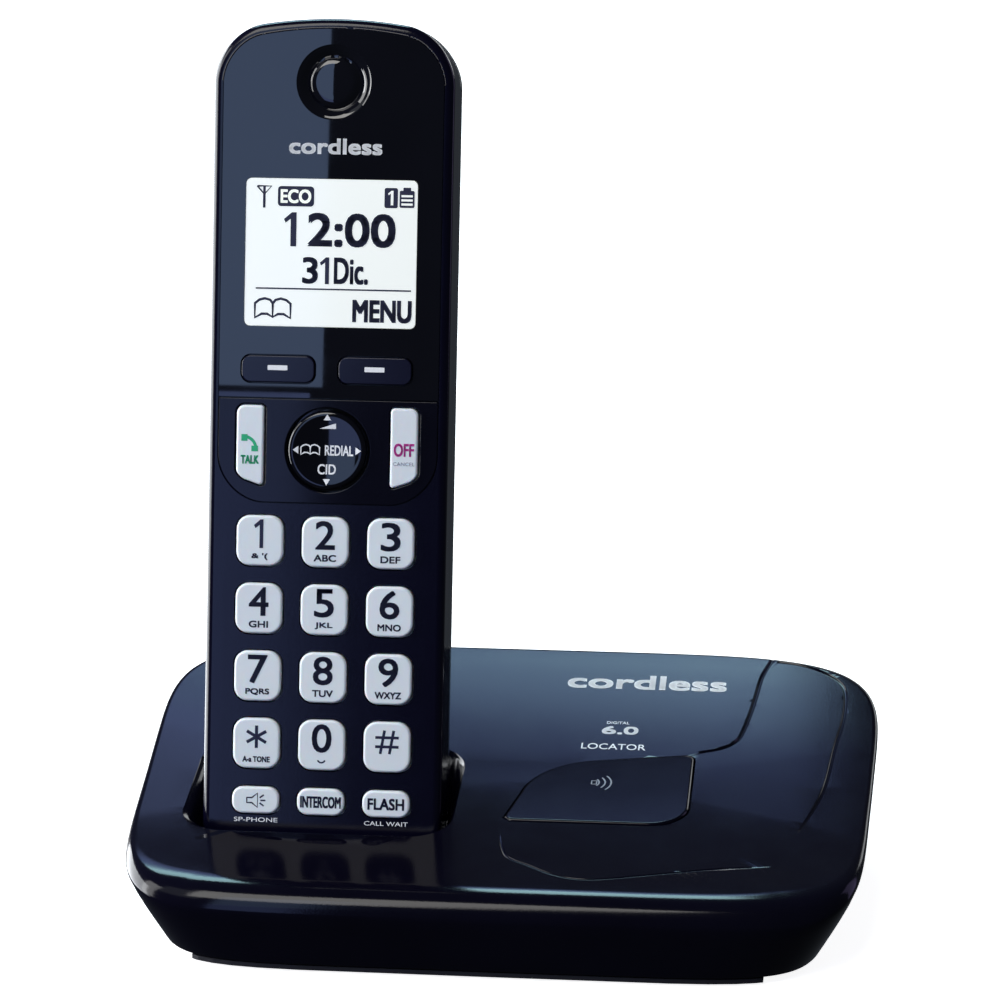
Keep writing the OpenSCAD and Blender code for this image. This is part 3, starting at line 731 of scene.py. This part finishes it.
# A round tube along points
def tubeAlong(name, points, width, resolution, closed=False):
    curve = bpy.data.curves.new(name, "CURVE")
    curve.dimensions = "3D"
    curve.bevel_depth = width / 2
    curve.bevel_resolution = resolution
    curve.use_fill_caps = True
    spline = curve.splines.new("POLY")
    spline.points.add(len(points) - 1)
    for spot, point in zip(spline.points, points):
        spot.co = (*point, 1)
    spline.use_cyclic_u = closed
    return addObject(name, meshOf(name, curve))


# A flattened line of even width along points; a closed line joins its ends
def lineMark(points, width, front, thick=0.05, closed=False):
    line = tubeAlong("line", [(x, z, 0) for x, z in points], width, 1, closed)
    line.data.transform(Matrix.Translation((0, front - thick / 2, 0)) @ standUp
                        @ Matrix.Diagonal((1, 1, thick / width, 1)))
    return line


def arcPoints(x, z, radius, start, end, count=10):
    turns = [math.radians(start + (end - start) * k / (count - 1)) for k in range(count)]
    return [(x + radius * math.cos(a), z + radius * math.sin(a)) for a in turns]


# The digit one: a stem with a flag at its upper left
def oneMark(x, z, height, stem, front, thick=0.05):
    right, low, high = x + 0.12 * height, z - height / 2, z + height / 2
    flag = right - stem - 0.2 * height
    return shapeMark([(right, low), (right, high), (right - 0.8 * stem, high), (flag, high - 0.2 * height),
                      (flag + 0.05 * height, high - 0.31 * height), (right - stem, high - 0.19 * height),
                      (right - stem, low)], front, thick)


def printOn(name, marks, ink, body, place=inCradle):
    settle(gather(name, marks), place, ink, body, crease=20, weighted=False)


def bookMark(x, z, width, front, line):
    half = width / 2
    left = [(x, z - 0.45 * half), (x - 0.3 * half, z - 0.28 * half), (x - 0.62 * half, z - 0.28 * half),
            (x - half, z - 0.5 * half), (x - half, z + 0.3 * half), (x - 0.75 * half, z + 0.5 * half),
            (x - 0.45 * half, z + 0.58 * half), (x - 0.15 * half, z + 0.5 * half), (x, z + 0.3 * half)]
    right = [(2 * x - px, pz) for px, pz in left]
    return [lineMark(left, line, front, closed=True), lineMark(right, line, front, closed=True)]


# Digits: character, sub-letters, and the width of those letters
legends = {"key_1": ("1", "& '(", 3.2), "key_2": ("2", "ABC", 4.4), "key_3": ("3", "DEF", 3.9),
           "key_4": ("4", "GHI", 3.8), "key_5": ("5", "JKL", 3.5), "key_6": ("6", "MNO", 4.6),
           "key_7": ("7", "PQRS", 4.7), "key_8": ("8", "TUV", 4.1), "key_9": ("9", "WXYZ", 5.2),
           "key_0": ("0", "", 0.0)}
printing = {"keyFront": -0.7, "digitHeight": 5.6, "digitWidth": 3.9, "digitUp": 1.35, "letterHeight": 1.35,
            "letterDown": 3.1, "thick": 0.04}


def keyLegends():
    front, thick = printing["keyFront"], printing["thick"]
    for name, (digit, letters, spread) in legends.items():
        x, z = keys[name][:2]
        up, high = z + printing["digitUp"], printing["digitHeight"]
        if digit == "1":
            marks = [oneMark(x, up, high, 0.72, front, thick)]
        else:
            marks = [wordMark(digit, x, up, printing["digitWidth"], high, front, thick, 0.1)]
        if letters:
            marks.append(wordMark(letters, x, z - printing["letterDown"], spread, printing["letterHeight"],
                                  front, thick, 0.05))
        else:
            marks.append(lineMark(arcPoints(x, z - 2.6, 0.8, 205, 335, 7), 0.32, front, thick))
        printOn("legend_" + name, marks, "darkInk", name)
    x, z = keys["key_star"][:2]
    spokes = []
    for turn in (90, 30, -30):
        across, up = 2.2 * math.cos(math.radians(turn)), 2.2 * math.sin(math.radians(turn))
        reach = [(x + side * across, z + 1.3 + side * up) for side in (-1, 1)]
        spokes.append(lineMark(reach, 0.62, front, thick))
    spokes.append(wordMark("A-a TONE", x, z - 3.1, 5.4, 1.15, front, thick, 0.05))
    printOn("legend_key_star", spokes, "darkInk", "key_star")
    x, z = keys["key_hash"][:2]
    bars = [lineMark([(x - 2.3, z + 1.0 + up), (x + 2.3, z + 1.0 + up)], 0.55, front, thick)
            for up in (-0.9, 0.9)]
    bars += [lineMark([(x + side - 0.4, z - 1.3), (x + side + 0.4, z + 3.3)], 0.55, front, thick)
             for side in (-0.9, 0.9)]
    printOn("legend_key_hash", bars, "darkInk", "key_hash")
    x, z = keys["speaker_key"][:2]
    horn = [lineMark([(x - 1.7, z - 0.5), (x - 0.7, z - 0.5), (x + 0.4, z - 1.4), (x + 0.4, z + 1.4),
                      (x - 0.7, z + 0.5), (x - 1.7, z + 0.5)], 0.32, front, thick, closed=True)]
    for turn in (-35, 0, 35):
        reach = [(x + far * math.cos(math.radians(turn)) + 0.1, z + far * math.sin(math.radians(turn)))
                 for far in (0.9, 1.9)]
        horn.append(lineMark(reach, 0.3, front, thick))
    printOn("legend_speaker_key", horn, "darkInk", "speaker_key")
    for name, words, width in (("intercom_key", "INTERCOM", 8.0), ("flash_key", "FLASH", 7.2)):
        x, z = keys[name][:2]
        printOn("legend_" + name, [wordMark(words, x, z, width, 2.3, front, thick, 0.08)], "darkInk", name)
    for name in softKeys:
        x, z = keys[name][:2]
        printOn("legend_" + name, [barMark(x - 0.1, z + 0.25, 3.9, 0.95, -0.3, thick, 0.15)], "whiteInk",
                name)
    x, z = keys["talk_key"][:2]
    receiver = lineMark(arcPoints(x - 1.3, z - 0.7, 2.5, 8, 84, 12), 0.6, front, thick)
    ends = [[(x - 1.7, z + 0.9), (x - 0.5, z + 0.9), (x - 0.5, z + 2.2), (x - 1.7, z + 2.2)],
            [(x + 0.3, z - 1.1), (x + 1.6, z - 1.1), (x + 1.6, z), (x + 0.3, z)]]
    talk = [receiver] + [shapeMark(end, front, thick) for end in ends]
    talk.append(wordMark("TALK", x, z - 2.7, 3.6, 1.7, front, thick, 0.08))
    printOn("legend_talk_key", talk, "greenInk", "talk_key")
    x, z = keys["off_key"][:2]
    printOn("legend_off_key", [wordMark("OFF", x, z - 0.2, 4.0, 2.6, front, thick, 0.08)], "pinkInk",
            "off_key")
    printOn("legend_off_key_small", [wordMark("CANCEL", x, z - 2.9, 4.2, 0.7, front, thick)], "greyInk",
            "off_key")


def navLegends():
    z = navShape["z"]
    marks = [shapeMark([(-0.75, z + 5.85), (0.75, z + 5.85), (0, z + 7.0)], 0),
             shapeMark([(-1.5, z + 4.2), (1.7, z + 4.2), (1.7, z + 5.3)], 0),
             shapeMark([(-0.7, z - 5.6), (0, z - 6.8), (0.7, z - 5.6)], 0),
             shapeMark([(-6.7, z), (-5.6, z - 0.75), (-5.6, z + 0.75)], 0),
             shapeMark([(6.7, z), (5.6, z - 0.75), (5.6, z + 0.75)], 0)]
    marks += bookMark(-3.3, z, 3.6, 0, 0.28)
    marks.append(wordMark("REDIAL", 2.35, z, 5.6, 2.0, 0, bold=0.04))
    marks.append(wordMark("CID", 0, z - 3.7, 3.6, 2.0, 0, bold=0.04))
    for mark in marks:
        for v in mark.data.vertices:
            v.co.y += navDish(min(math.hypot(v.co.x, v.co.z - z), 6.7))
    printOn("legend_nav_key", marks, "whiteInk", "nav_key")


# The display: what its segments show
def displayMarks():
    front, z = 0.05, displayShape["z"]
    top, low = z + 10.9, z - 10.9
    dark = [lineMark([(-13.2, top + 1.9), (-13.2, top - 2.3)], 0.5, front),
            lineMark([(-14.6, top + 1.9), (-13.2, top + 0.3), (-11.8, top + 1.9), (-14.6, top + 1.9)], 0.36,
                     front),
            block("badge", 7.1, 3.9, [0.7] * 4, -7.0, top, front - 0.05, front),
            block("badge", 2.6, 3.9, [0.4] * 4, 11.6, top, front - 0.05, front),
            block("cell", 2.9, 3.3, [0.3] * 4, 14.7, top - 0.2, front - 0.05, front),
            block("cellTop", 1.5, 0.7, [0.1] * 4, 14.7, top + 1.7, front - 0.05, front),
            oneMark(-7.6, z + 4.5, 6.6, 1.15, front),
            wordMark("2:00", 4.0, z + 4.5, 17.2, 6.6, front, bold=0.22),
            wordMark("3", -4.0, z - 3.4, 3.1, 5.2, front, bold=0.14),
            oneMark(-0.9, z - 3.4, 5.2, 0.8, front),
            wordMark("Dic.", 4.0, z - 3.4, 6.7, 5.2, front, bold=0.14),
            barMark(0.6, low + 3.9, 30.4, 0.3, front),
            wordMark("MENU", 10.2, low - 0.2, 11.6, 4.4, front, bold=0.18)]
    dark += bookMark(-11.2, low - 0.1, 7.0, front, 0.5)
    printOn("displayMarks", dark, "darkInk", "handset")
    light = [wordMark("ECO", -7.0, top, 6.0, 2.7, front - 0.04, bold=0.1),
             oneMark(11.7, top, 2.8, 0.5, front - 0.04)]
    light += [barMark(14.7, top - 0.2 + up, 2.2, 0.42, front - 0.04) for up in (-1.0, -0.2, 0.6)]
    printOn("displayLightMarks", light, "display", "handset")


def faceMarks():
    printOn("faceWord", [wordMark("cordless", 0.6, 140.3, 18.2, 3.1, 0.0, 0.03, 0.12)], "whiteInk", "handset")
    small = [wordMark("SP-PHONE", keys["speaker_key"][0], 8.7, 8.6, 0.85, 0.0, 0.03),
             wordMark("CALL WAIT", keys["flash_key"][0], 8.7, 8.6, 0.85, 0.0, 0.03)]
    printOn("faceCaptions", small, "whiteInk", "handset")


keyLegends()
navLegends()
displayMarks()
faceMarks()
print("printing done")


# Base
baseShape = {"width": 145.16, "depth": 104.0, "frontHeight": 17.0, "backHeight": 34.0, "sag": 2.3,
             "frontPower": 7.0, "backPower": 5.6, "spread": 0.028, "sideTaper": 7.7, "taperPower": 1.15,
             "endTaper": 2.6, "backRoll": 0.2, "frontTuck": 0.5, "floor": 1.4}
buttonShape = {"x": 20.0, "y": -6.0, "proud": 0.5, "rim": 0.55}
mouthShape = {"near": -20.4, "far": 7.8, "corner": 5.0, "front": 0.6, "right": 0.5}


def topHeight(y):
    t = (y + baseShape["depth"] / 2) / baseShape["depth"]
    rise = baseShape["backHeight"] - baseShape["frontHeight"]
    return baseShape["frontHeight"] + rise * t - 4 * baseShape["sag"] * t * (1 - t)


# A ring of the base's plan: the edge's roll and its drop, then an even inset and drop, and how far it is on
# its way from the top down to the floor. The roll dies away towards the back, and the sides tuck in in front.
def basePoint(ring, share):
    roll, fall, inset, drop, low = ring
    angle = share * math.tau
    c, s = math.cos(angle), math.sin(angle)
    bow = 2 / baseShape["frontPower" if s < 0 else "backPower"]
    part = baseShape["backRoll"] + (1 - baseShape["backRoll"]) * min(1, max(0, -1.2 * s))
    taper = baseShape["sideTaper"] * low ** baseShape["taperPower"]
    halfWidth = baseShape["width"] / 2 - roll * part - inset - taper
    halfWidth -= baseShape["frontTuck"] * (part - baseShape["backRoll"])
    halfDepth = baseShape["depth"] / 2 - roll * part - inset - baseShape["endTaper"] * low
    y = math.copysign(abs(s) ** bow, s) * halfDepth
    x = math.copysign(abs(c) ** bow, c) * halfWidth * (1 + 2 * baseShape["spread"] * y / baseShape["depth"])
    z = topHeight(y) - fall * part - drop
    return Vector((x, y, z + (baseShape["floor"] - z) * low))


def padPoint(ring, share):
    side, front, back, corner, z = ring
    halfDepth = (24 + front + back) / 2
    x, y = onRounded(share, 23.5 + side, halfDepth, corner)
    return Vector((x, y + halfDepth - front, z))


def mouthPoint(ring, share):
    grow, drop = ring
    front, right = mouthShape["front"] * (grow - 0.9), mouthShape["right"] * (grow - 0.9)
    halfDepth = (mouthShape["far"] - mouthShape["near"] + front) / 2
    x, y = onRounded(share, 23.5 + grow - right / 2, halfDepth + grow, mouthShape["corner"] + grow)
    y += (mouthShape["far"] + mouthShape["near"] - front) / 2
    return Vector((x + seat.x * 1000 - right / 2, y, topHeight(y) - drop))


def cradlePad(grow):
    rings = [(0.8 + grow, 0.8 + grow, grow - 3, 3, -0.5 - grow), (0.9 + grow, 0.9 + grow, 1 + grow, 3, 4.5),
             (1.1 + grow * 1.6, 1.1 + grow * 1.6, 1.6 + grow, 3, 11),
             (1.3 + grow * 2, 1.3 + grow * 2, 3.4 + grow * 1.6, 3, 26)]
    pad = ringTower("pad", padPoint, smoothRows(rings, 3), 96)
    pad.data.transform(inCradleMm)
    return pad


def slopeAt(y):
    return Matrix.Rotation(math.atan2(topHeight(y + 1) - topHeight(y - 1), 2), 4, "X")


onButton = Matrix.Translation((buttonShape["x"], buttonShape["y"], topHeight(buttonShape["y"])))
onButton = onButton @ slopeAt(buttonShape["y"])


# The locator button's plan: a pointed left end, a long bowed edge and a round lower right corner
def buttonPlan(grow):
    plan = [(-18.9, -10.9), (-17.6, -12.2)] + arcPoints(9, -4.4, 7.8, -90, 0, 12)
    plan += arcPoints(15.2, 15.4, 1.6, 0, 105, 7) + arcPoints(0.3, -3, 17, 103, 172, 20)
    moved = []
    for k, (x, y) in enumerate(plan):
        ahead, behind = Vector(plan[(k + 1) % len(plan)]), Vector(plan[k - 1])
        leaving, coming = (ahead - Vector((x, y))).normalized(), (Vector((x, y)) - behind).normalized()
        way = (leaving + coming).normalized()
        reach = grow / way.dot(leaving)
        moved.append((x + way.y * reach, y - way.x * reach))
    return moved


def buttonSlab(low, high, grow, rim=0.0):
    bm = bmesh.new()
    face = outlineFace(bm, [bm.verts.new((x, y, low)) for x, y in buttonPlan(grow)], (0, 0, 1))
    face = pull(bm, face, high - low, first=True)
    if rim:
        softenRim(bm, face, rim, 6)
    return asPiece("slab", bm)


def baseShell():
    roll = [(0, 5), (0.14, 4), (0.5, 3), (1, 2.1), (1.7, 1.3), (2.6, 0.72), (3.6, 0.35), (4.8, 0.1), (6, 0)]
    wall = [(0, 5, 0.4, 0, 1), (0, 5, 0.12, 0, 0.985), (0, 5, 0, 0, 0.96)]
    wall += [(0, 5, 0, 0, low) for low in (0.8, 0.6, 0.4, 0.2)]
    top = [(6, 0, inset, 0, 0) for inset in (4, 9, 15, 21, 27, 33, 39, 44)]
    edge = [(inset, drop, 0, 0, 0) for inset, drop in roll]
    shell = ringTower("baseShell", basePoint, wall + edge + top, 192)
    hollow = [(0, 5, 2, 0, 1.05), (0, 5, 2, 1.5, 0), (1.7, 1.3, 2, 1.8, 0), (3.6, 0.35, 2, 2, 0)]
    hollow += [(0, 0, inset, 2, 0) for inset in (8, 16, 28, 40, 51)]
    carve(shell, [ringTower("hollow", basePoint, hollow, 128)])
    outside = [(0, 5, 0.9, 0, 0.98), (0, 5, 0.8, 0.8, 0), (1.7, 1.3, 0.8, 0.8, 0), (6, 0, 0.8, 0.8, 0)]
    outside += [(6, 0, inset, 0.8, 0) for inset in (15, 27, 44)]
    well = carve(cradlePad(1.8), [ringTower("outside", basePoint, outside, 128)], "INTERSECT")
    posts = []
    for x in (-54, 54):
        for y in (-37, 37):
            post = rod("post", 3.5, -26, -3.5, 0, 0, 32)
            post.data.transform(Matrix.Translation((x, y, 0)) @ lieDown)
            posts.append(carve(post, [ringTower("outside", basePoint, outside, 96)], "INTERSECT"))
    carve(shell, [well] + posts, "UNION")
    turns = [math.radians(9 * k) for k in range(1, 9)]
    steps = [(0.9, 12), (0.9, 9)]
    steps += [(4.3 - 3.4 * math.cos(turn) ** 1.15, 9 - 9 * math.sin(turn) ** 0.8) for turn in turns]
    steps += [(3.9, 0.2), (4.8, -1.1), (4.9, -6)]
    carve(shell, [cradlePad(0), ringTower("mouth", mouthPoint, steps, 160)])
    slot = buttonSlab(-12, 6, 0.35)
    slot.data.transform(onButton)
    holes = [slot]
    for x, width, height in ((12, 9.2, 11.2), (36, 13.2, 12.2)):
        holes.append(block("jackHole", width, height, [0.1] * 4, x, 5.8 + height / 2, 40, 60))
    for side in (-1, 1):
        slot = block("springSlot", 3.4, 8, [0.3] * 4, side * 8, 0, 11, 20)
        slot.data.transform(inCradleMm)
        holes.append(slot)
    carve(shell, holes)
    carve(shell, panelGrooves())
    settle(shell, toMetres, "baseTop", "base", ["base_upper_case"], rim=0.15)


# The grooves that frame the right-hand panel: a width, then points across the top with the depth there
grooves = {
    "left": (1.1, [(51.3, 51.5, 0.45), (50.6, 48.6, 0.5), (49.1, 43.1, 0.5), (48.1, 35, 0.5), (47.2, 28, 0.5),
                   (45.7, 19.6, 0.5), (44.3, 16.4, 0.5), (41.8, 14.1, 0.5), (37.6, 12.4, 0.45)]),
    "right": (1.0, [(52, 49.1, 0.3), (56.4, 48.3, 0.4), (60.4, 46.5, 0.4), (64.6, 42.8, 0.4), (66.4, 38, 0.4),
                    (66.3, 28, 0.4), (64.8, 16.4, 0.4), (63.2, 0.9, 0.35), (61.4, -8.2, 0.28),
                    (59.1, -16.6, 0.15), (58.2, -19.5, -0.05)]),
    "low": (0.9, [(55, -33.5, -0.05), (50, -34.3, 0.15), (44, -35.2, 0.2), (36, -37.4, 0.2), (29, -39.4, 0.2),
                  (22, -41.3, 0.2), (17, -41.6, 0.2), (12, -39.8, 0.2), (7.4, -36.4, 0.2), (3.4, -33.4, 0.2),
                  (1.6, -28, 0.15), (0.9, -23, -0.05)])}


def panelGrooves():
    tubes = []
    for width, rows in grooves.values():
        path = [(x, y, topHeight(y) + width / 2 - deep) for x, y, deep in smoothRows(rows, 5)]
        tubes.append(tubeAlong("groove", path, width, 3))
    return tubes


def locatorButton():
    top = buttonSlab(-4.5, buttonShape["proud"], 0, buttonShape["rim"])
    under = buttonSlab(-5, -1.5, -1.4)
    carve(top, [under])
    stem = rod("stem", 2, 0.9, 10.3, 0, 0, 32)
    stem.data.transform(Matrix.Translation((0, -1, 0)) @ lieDown)
    carve(top, [stem], "UNION")
    flange = carve(buttonSlab(-4.5, -3.5, 1.2), [buttonSlab(-5, -3, -1.4)])
    carve(top, [flange], "UNION")
    settle(top, toMetres @ onButton, "baseTop", "locator_button", ["locator_button"])


# Lays upright print onto the base's slope
def onSlope(mark, y):
    mark.data.transform(Matrix.Translation((0, y, topHeight(y) + 0.02)) @ (slopeAt(y) @ lieDown))
    return mark


def baseMarks():
    word = onSlope(wordMark("cordless", 25.5, 0, 33.0, 5.6, 0, 0.05, 0.2), 39.4)
    printOn("baseWord", [word], "whiteInk", "base", toMetres)
    captions = [onSlope(wordMark("DIGITAL", 20.6, 0, 4.6, 1.0, 0), 23.2),
                onSlope(wordMark("6.0", 21.2, 0, 7.4, 3.2, 0, bold=0.12), 20.2),
                onSlope(wordMark("LOCATOR", 20.3, 0, 13.0, 2.3, 0), 13.6)]
    printOn("baseCaptions", captions, "whiteInk", "base", toMetres)
    waves = [lineMark(arcPoints(-4.4, 4, reach, -40, 40, 9), 0.3, 0) for reach in (2.0, 3.2, 4.4)]
    waves.append(lineMark([(-3.9, 4.7), (-2.9, 4.7), (-2.9, 3.3), (-3.9, 3.3)], 0.3, 0, closed=True))
    for wave in waves:
        wave.data.transform(Matrix.Translation((1, 0, buttonShape["proud"] + 0.02)) @ lieDown)
    printOn("legend_locator_button", waves, "greyInk", "locator_button", toMetres @ onButton)


baseShell()
locatorButton()
baseMarks()
print("base done")

# Nodes whose CAD shape stays, with the finish that each gets
keptFinishes = {
    "base_lower_case": "lower", "base_feet": "rubber", "base_screws": "screw", "base_board": "board",
    "base_antenna": "spring", "power_jack": "inner", "line_jack": "inner", "cradle_contacts": "spring",
    "locator_switch": "inner", "display_module": "display", "display_frame": "inner",
    "earpiece_speaker": "inner", "microphone": "screw", "rear_speaker": "inner", "key_sheet": "rubber",
    "handset_board": "board",
    "handset_antenna": "spring", "battery_cells": "cell", "battery_contacts": "spring",
    "handset_charge_plates": "spring", "handset_screws": "screw", "nav_boss": "rubber"}
for name, finish in keptFinishes.items():
    materials = nodes[name].data.materials
    for number in range(len(materials)):
        materials[number] = finishes[finish]
    if not len(materials):
        materials.append(finishes[finish])
print("kept nodes finished:", len(keptFinishes))

# Stage, light and camera
view = {"azimuth": 5.627, "elevation": 15.3, "distance": 0.77137, "target": (-0.000573, -0.008, 0.082534),
        "lens": 143.66, "sensor": 36, "near": 0.01}


def studio():
    # The floor is seen by the camera only, so it lights nothing and shows in no shine
    floorFinish = Finish("pale floor", Emission_Color=(1, 1, 1, 1), Emission_Strength=0.9, Roughness=0.9)
    floorFinish.colour(floorFinish.blend(floorFinish.noise(3), (0.80, 0.80, 0.80), (0.83, 0.83, 0.83)))
    bm = bmesh.new()
    bmesh.ops.create_grid(bm, x_segments=8, y_segments=8, size=4)
    floor = asPiece("floor", bm, faceOut=False)
    floor.data.materials.append(floorFinish.material)
    floor.visible_glossy = False
    floor.visible_diffuse = False
    floor.location.z = -0.0002
    world = bpy.data.worlds.new("studio")
    bpy.context.scene.world = world
    world.use_nodes = True
    links, made = world.node_tree.links, world.node_tree.nodes
    made.clear()
    output = made.new("ShaderNodeOutputWorld")
    mix = made.new("ShaderNodeMixShader")
    path = made.new("ShaderNodeLightPath")
    seen, lit = made.new("ShaderNodeBackground"), made.new("ShaderNodeBackground")
    seen.inputs["Color"].default_value = (1, 1, 1, 1)
    lit.inputs["Color"].default_value = (0.75, 0.85, 1.0, 1)
    lit.inputs["Strength"].default_value = 0.06
    links.new(path.outputs["Is Camera Ray"], mix.inputs["Fac"])
    links.new(lit.outputs["Background"], mix.inputs[1])
    links.new(seen.outputs["Background"], mix.inputs[2])
    links.new(mix.outputs["Shader"], output.inputs["Surface"])


# A soft card: where it stands, where it faces, its size and its brightness per square metre
def softCard(name, at, toward, width, height, radiance, colour):
    light = bpy.data.lights.new(name, "AREA")
    light.shape = "RECTANGLE"
    light.size = width
    light.size_y = height
    light.energy = radiance * math.pi * width * height
    light.color = colour
    card = addObject(name, light)
    card.location = at
    card.rotation_euler = (Vector(toward) - Vector(at)).to_track_quat("-Z", "Y").to_euler()


def camera():
    azimuth, elevation = math.radians(view["azimuth"]), math.radians(view["elevation"])
    level = math.cos(elevation)
    back = Vector((math.sin(azimuth) * level, -math.cos(azimuth) * level, math.sin(elevation)))
    data = bpy.data.cameras.new("camera")
    data.lens = view["lens"]
    data.sensor_width = view["sensor"]
    data.clip_start = view["near"]
    eye = addObject("camera", data)
    eye.location = Vector(view["target"]) + back * view["distance"]
    eye.rotation_euler = back.to_track_quat("Z", "Y").to_euler()
    bpy.context.scene.camera = eye


# Where each card stands, where it faces, its width, height, brightness and colour
cards = {
    "panel card": ((-0.186, -0.50, 0.375), (-0.186, 0.0, 0.30), 0.15, 0.36, 2.3, (0.41, 0.585, 1.0)),
    "lower panel card": ((-0.186, -0.50, 0.095), (-0.186, 0.0, 0.09), 0.15, 0.19, 2.1, (0.34, 0.46, 1.0)),
    "key card": ((-0.5, -1.05, 1.5), (0, 0, 0.08), 0.9, 0.9, 7.0, (1.0, 0.98, 0.94)),
    "fill card": ((-1.0, -0.9, 1.3), (0, 0, 0.08), 0.8, 0.8, 0.6, (0.90, 0.95, 1.0)),
    "back card": ((-0.35, 0.952, 1.316), (-0.1, 0, 0.03), 0.8, 0.27, 12.0, (0.55, 0.92, 1.0)),
    "upper middle back card": ((-0.35, 1.08, 1.205), (-0.1, 0, 0.03), 0.8, 0.085, 7.0, (0.47, 0.77, 1.0)),
    "middle back card": ((-0.35, 1.145, 1.145), (-0.1, 0, 0.03), 0.8, 0.10, 3.7, (0.38, 0.60, 1.0)),
    "blue back card": ((-0.35, 1.215, 1.07), (-0.1, 0, 0.03), 0.8, 0.10, 1.2, (0.30, 0.42, 1.0)),
    "left blue card": ((-0.47, 1.24, 1.04), (-0.1, 0, 0.03), 0.46, 0.17, 1.4, (0.38, 0.50, 1.0)),
    "side card": ((-0.95, -0.25, 0.35), (0, 0, 0.12), 0.35, 0.9, 6.0, (1, 1, 1)),
    "low left card": ((-0.48, 0.85, -0.12), (0, 0, 0.1), 0.9, 0.16, 2.2, (1, 1, 1)),
    "low back card": ((0.35, 1.0, 0.33), (0, 0, 0.17), 0.8, 0.34, 2.2, (0.95, 0.98, 1.0)),
    "left edge card": ((-1.1, 0.35, 0.12), (0, 0, 0.08), 1.4, 1.0, 11.0, (0.93, 0.96, 1.0)),
    "right edge card": ((0.9, 0.55, 0.35), (0, 0, 0.08), 0.35, 0.8, 0.8, (0.60, 0.50, 1.0)),
}

studio()
for name, card in cards.items():
    softCard(name, *card)
camera()
scene = bpy.context.scene
scene.view_settings.view_transform = "Standard"
scene.view_settings.look = "None"
print("studio ready")
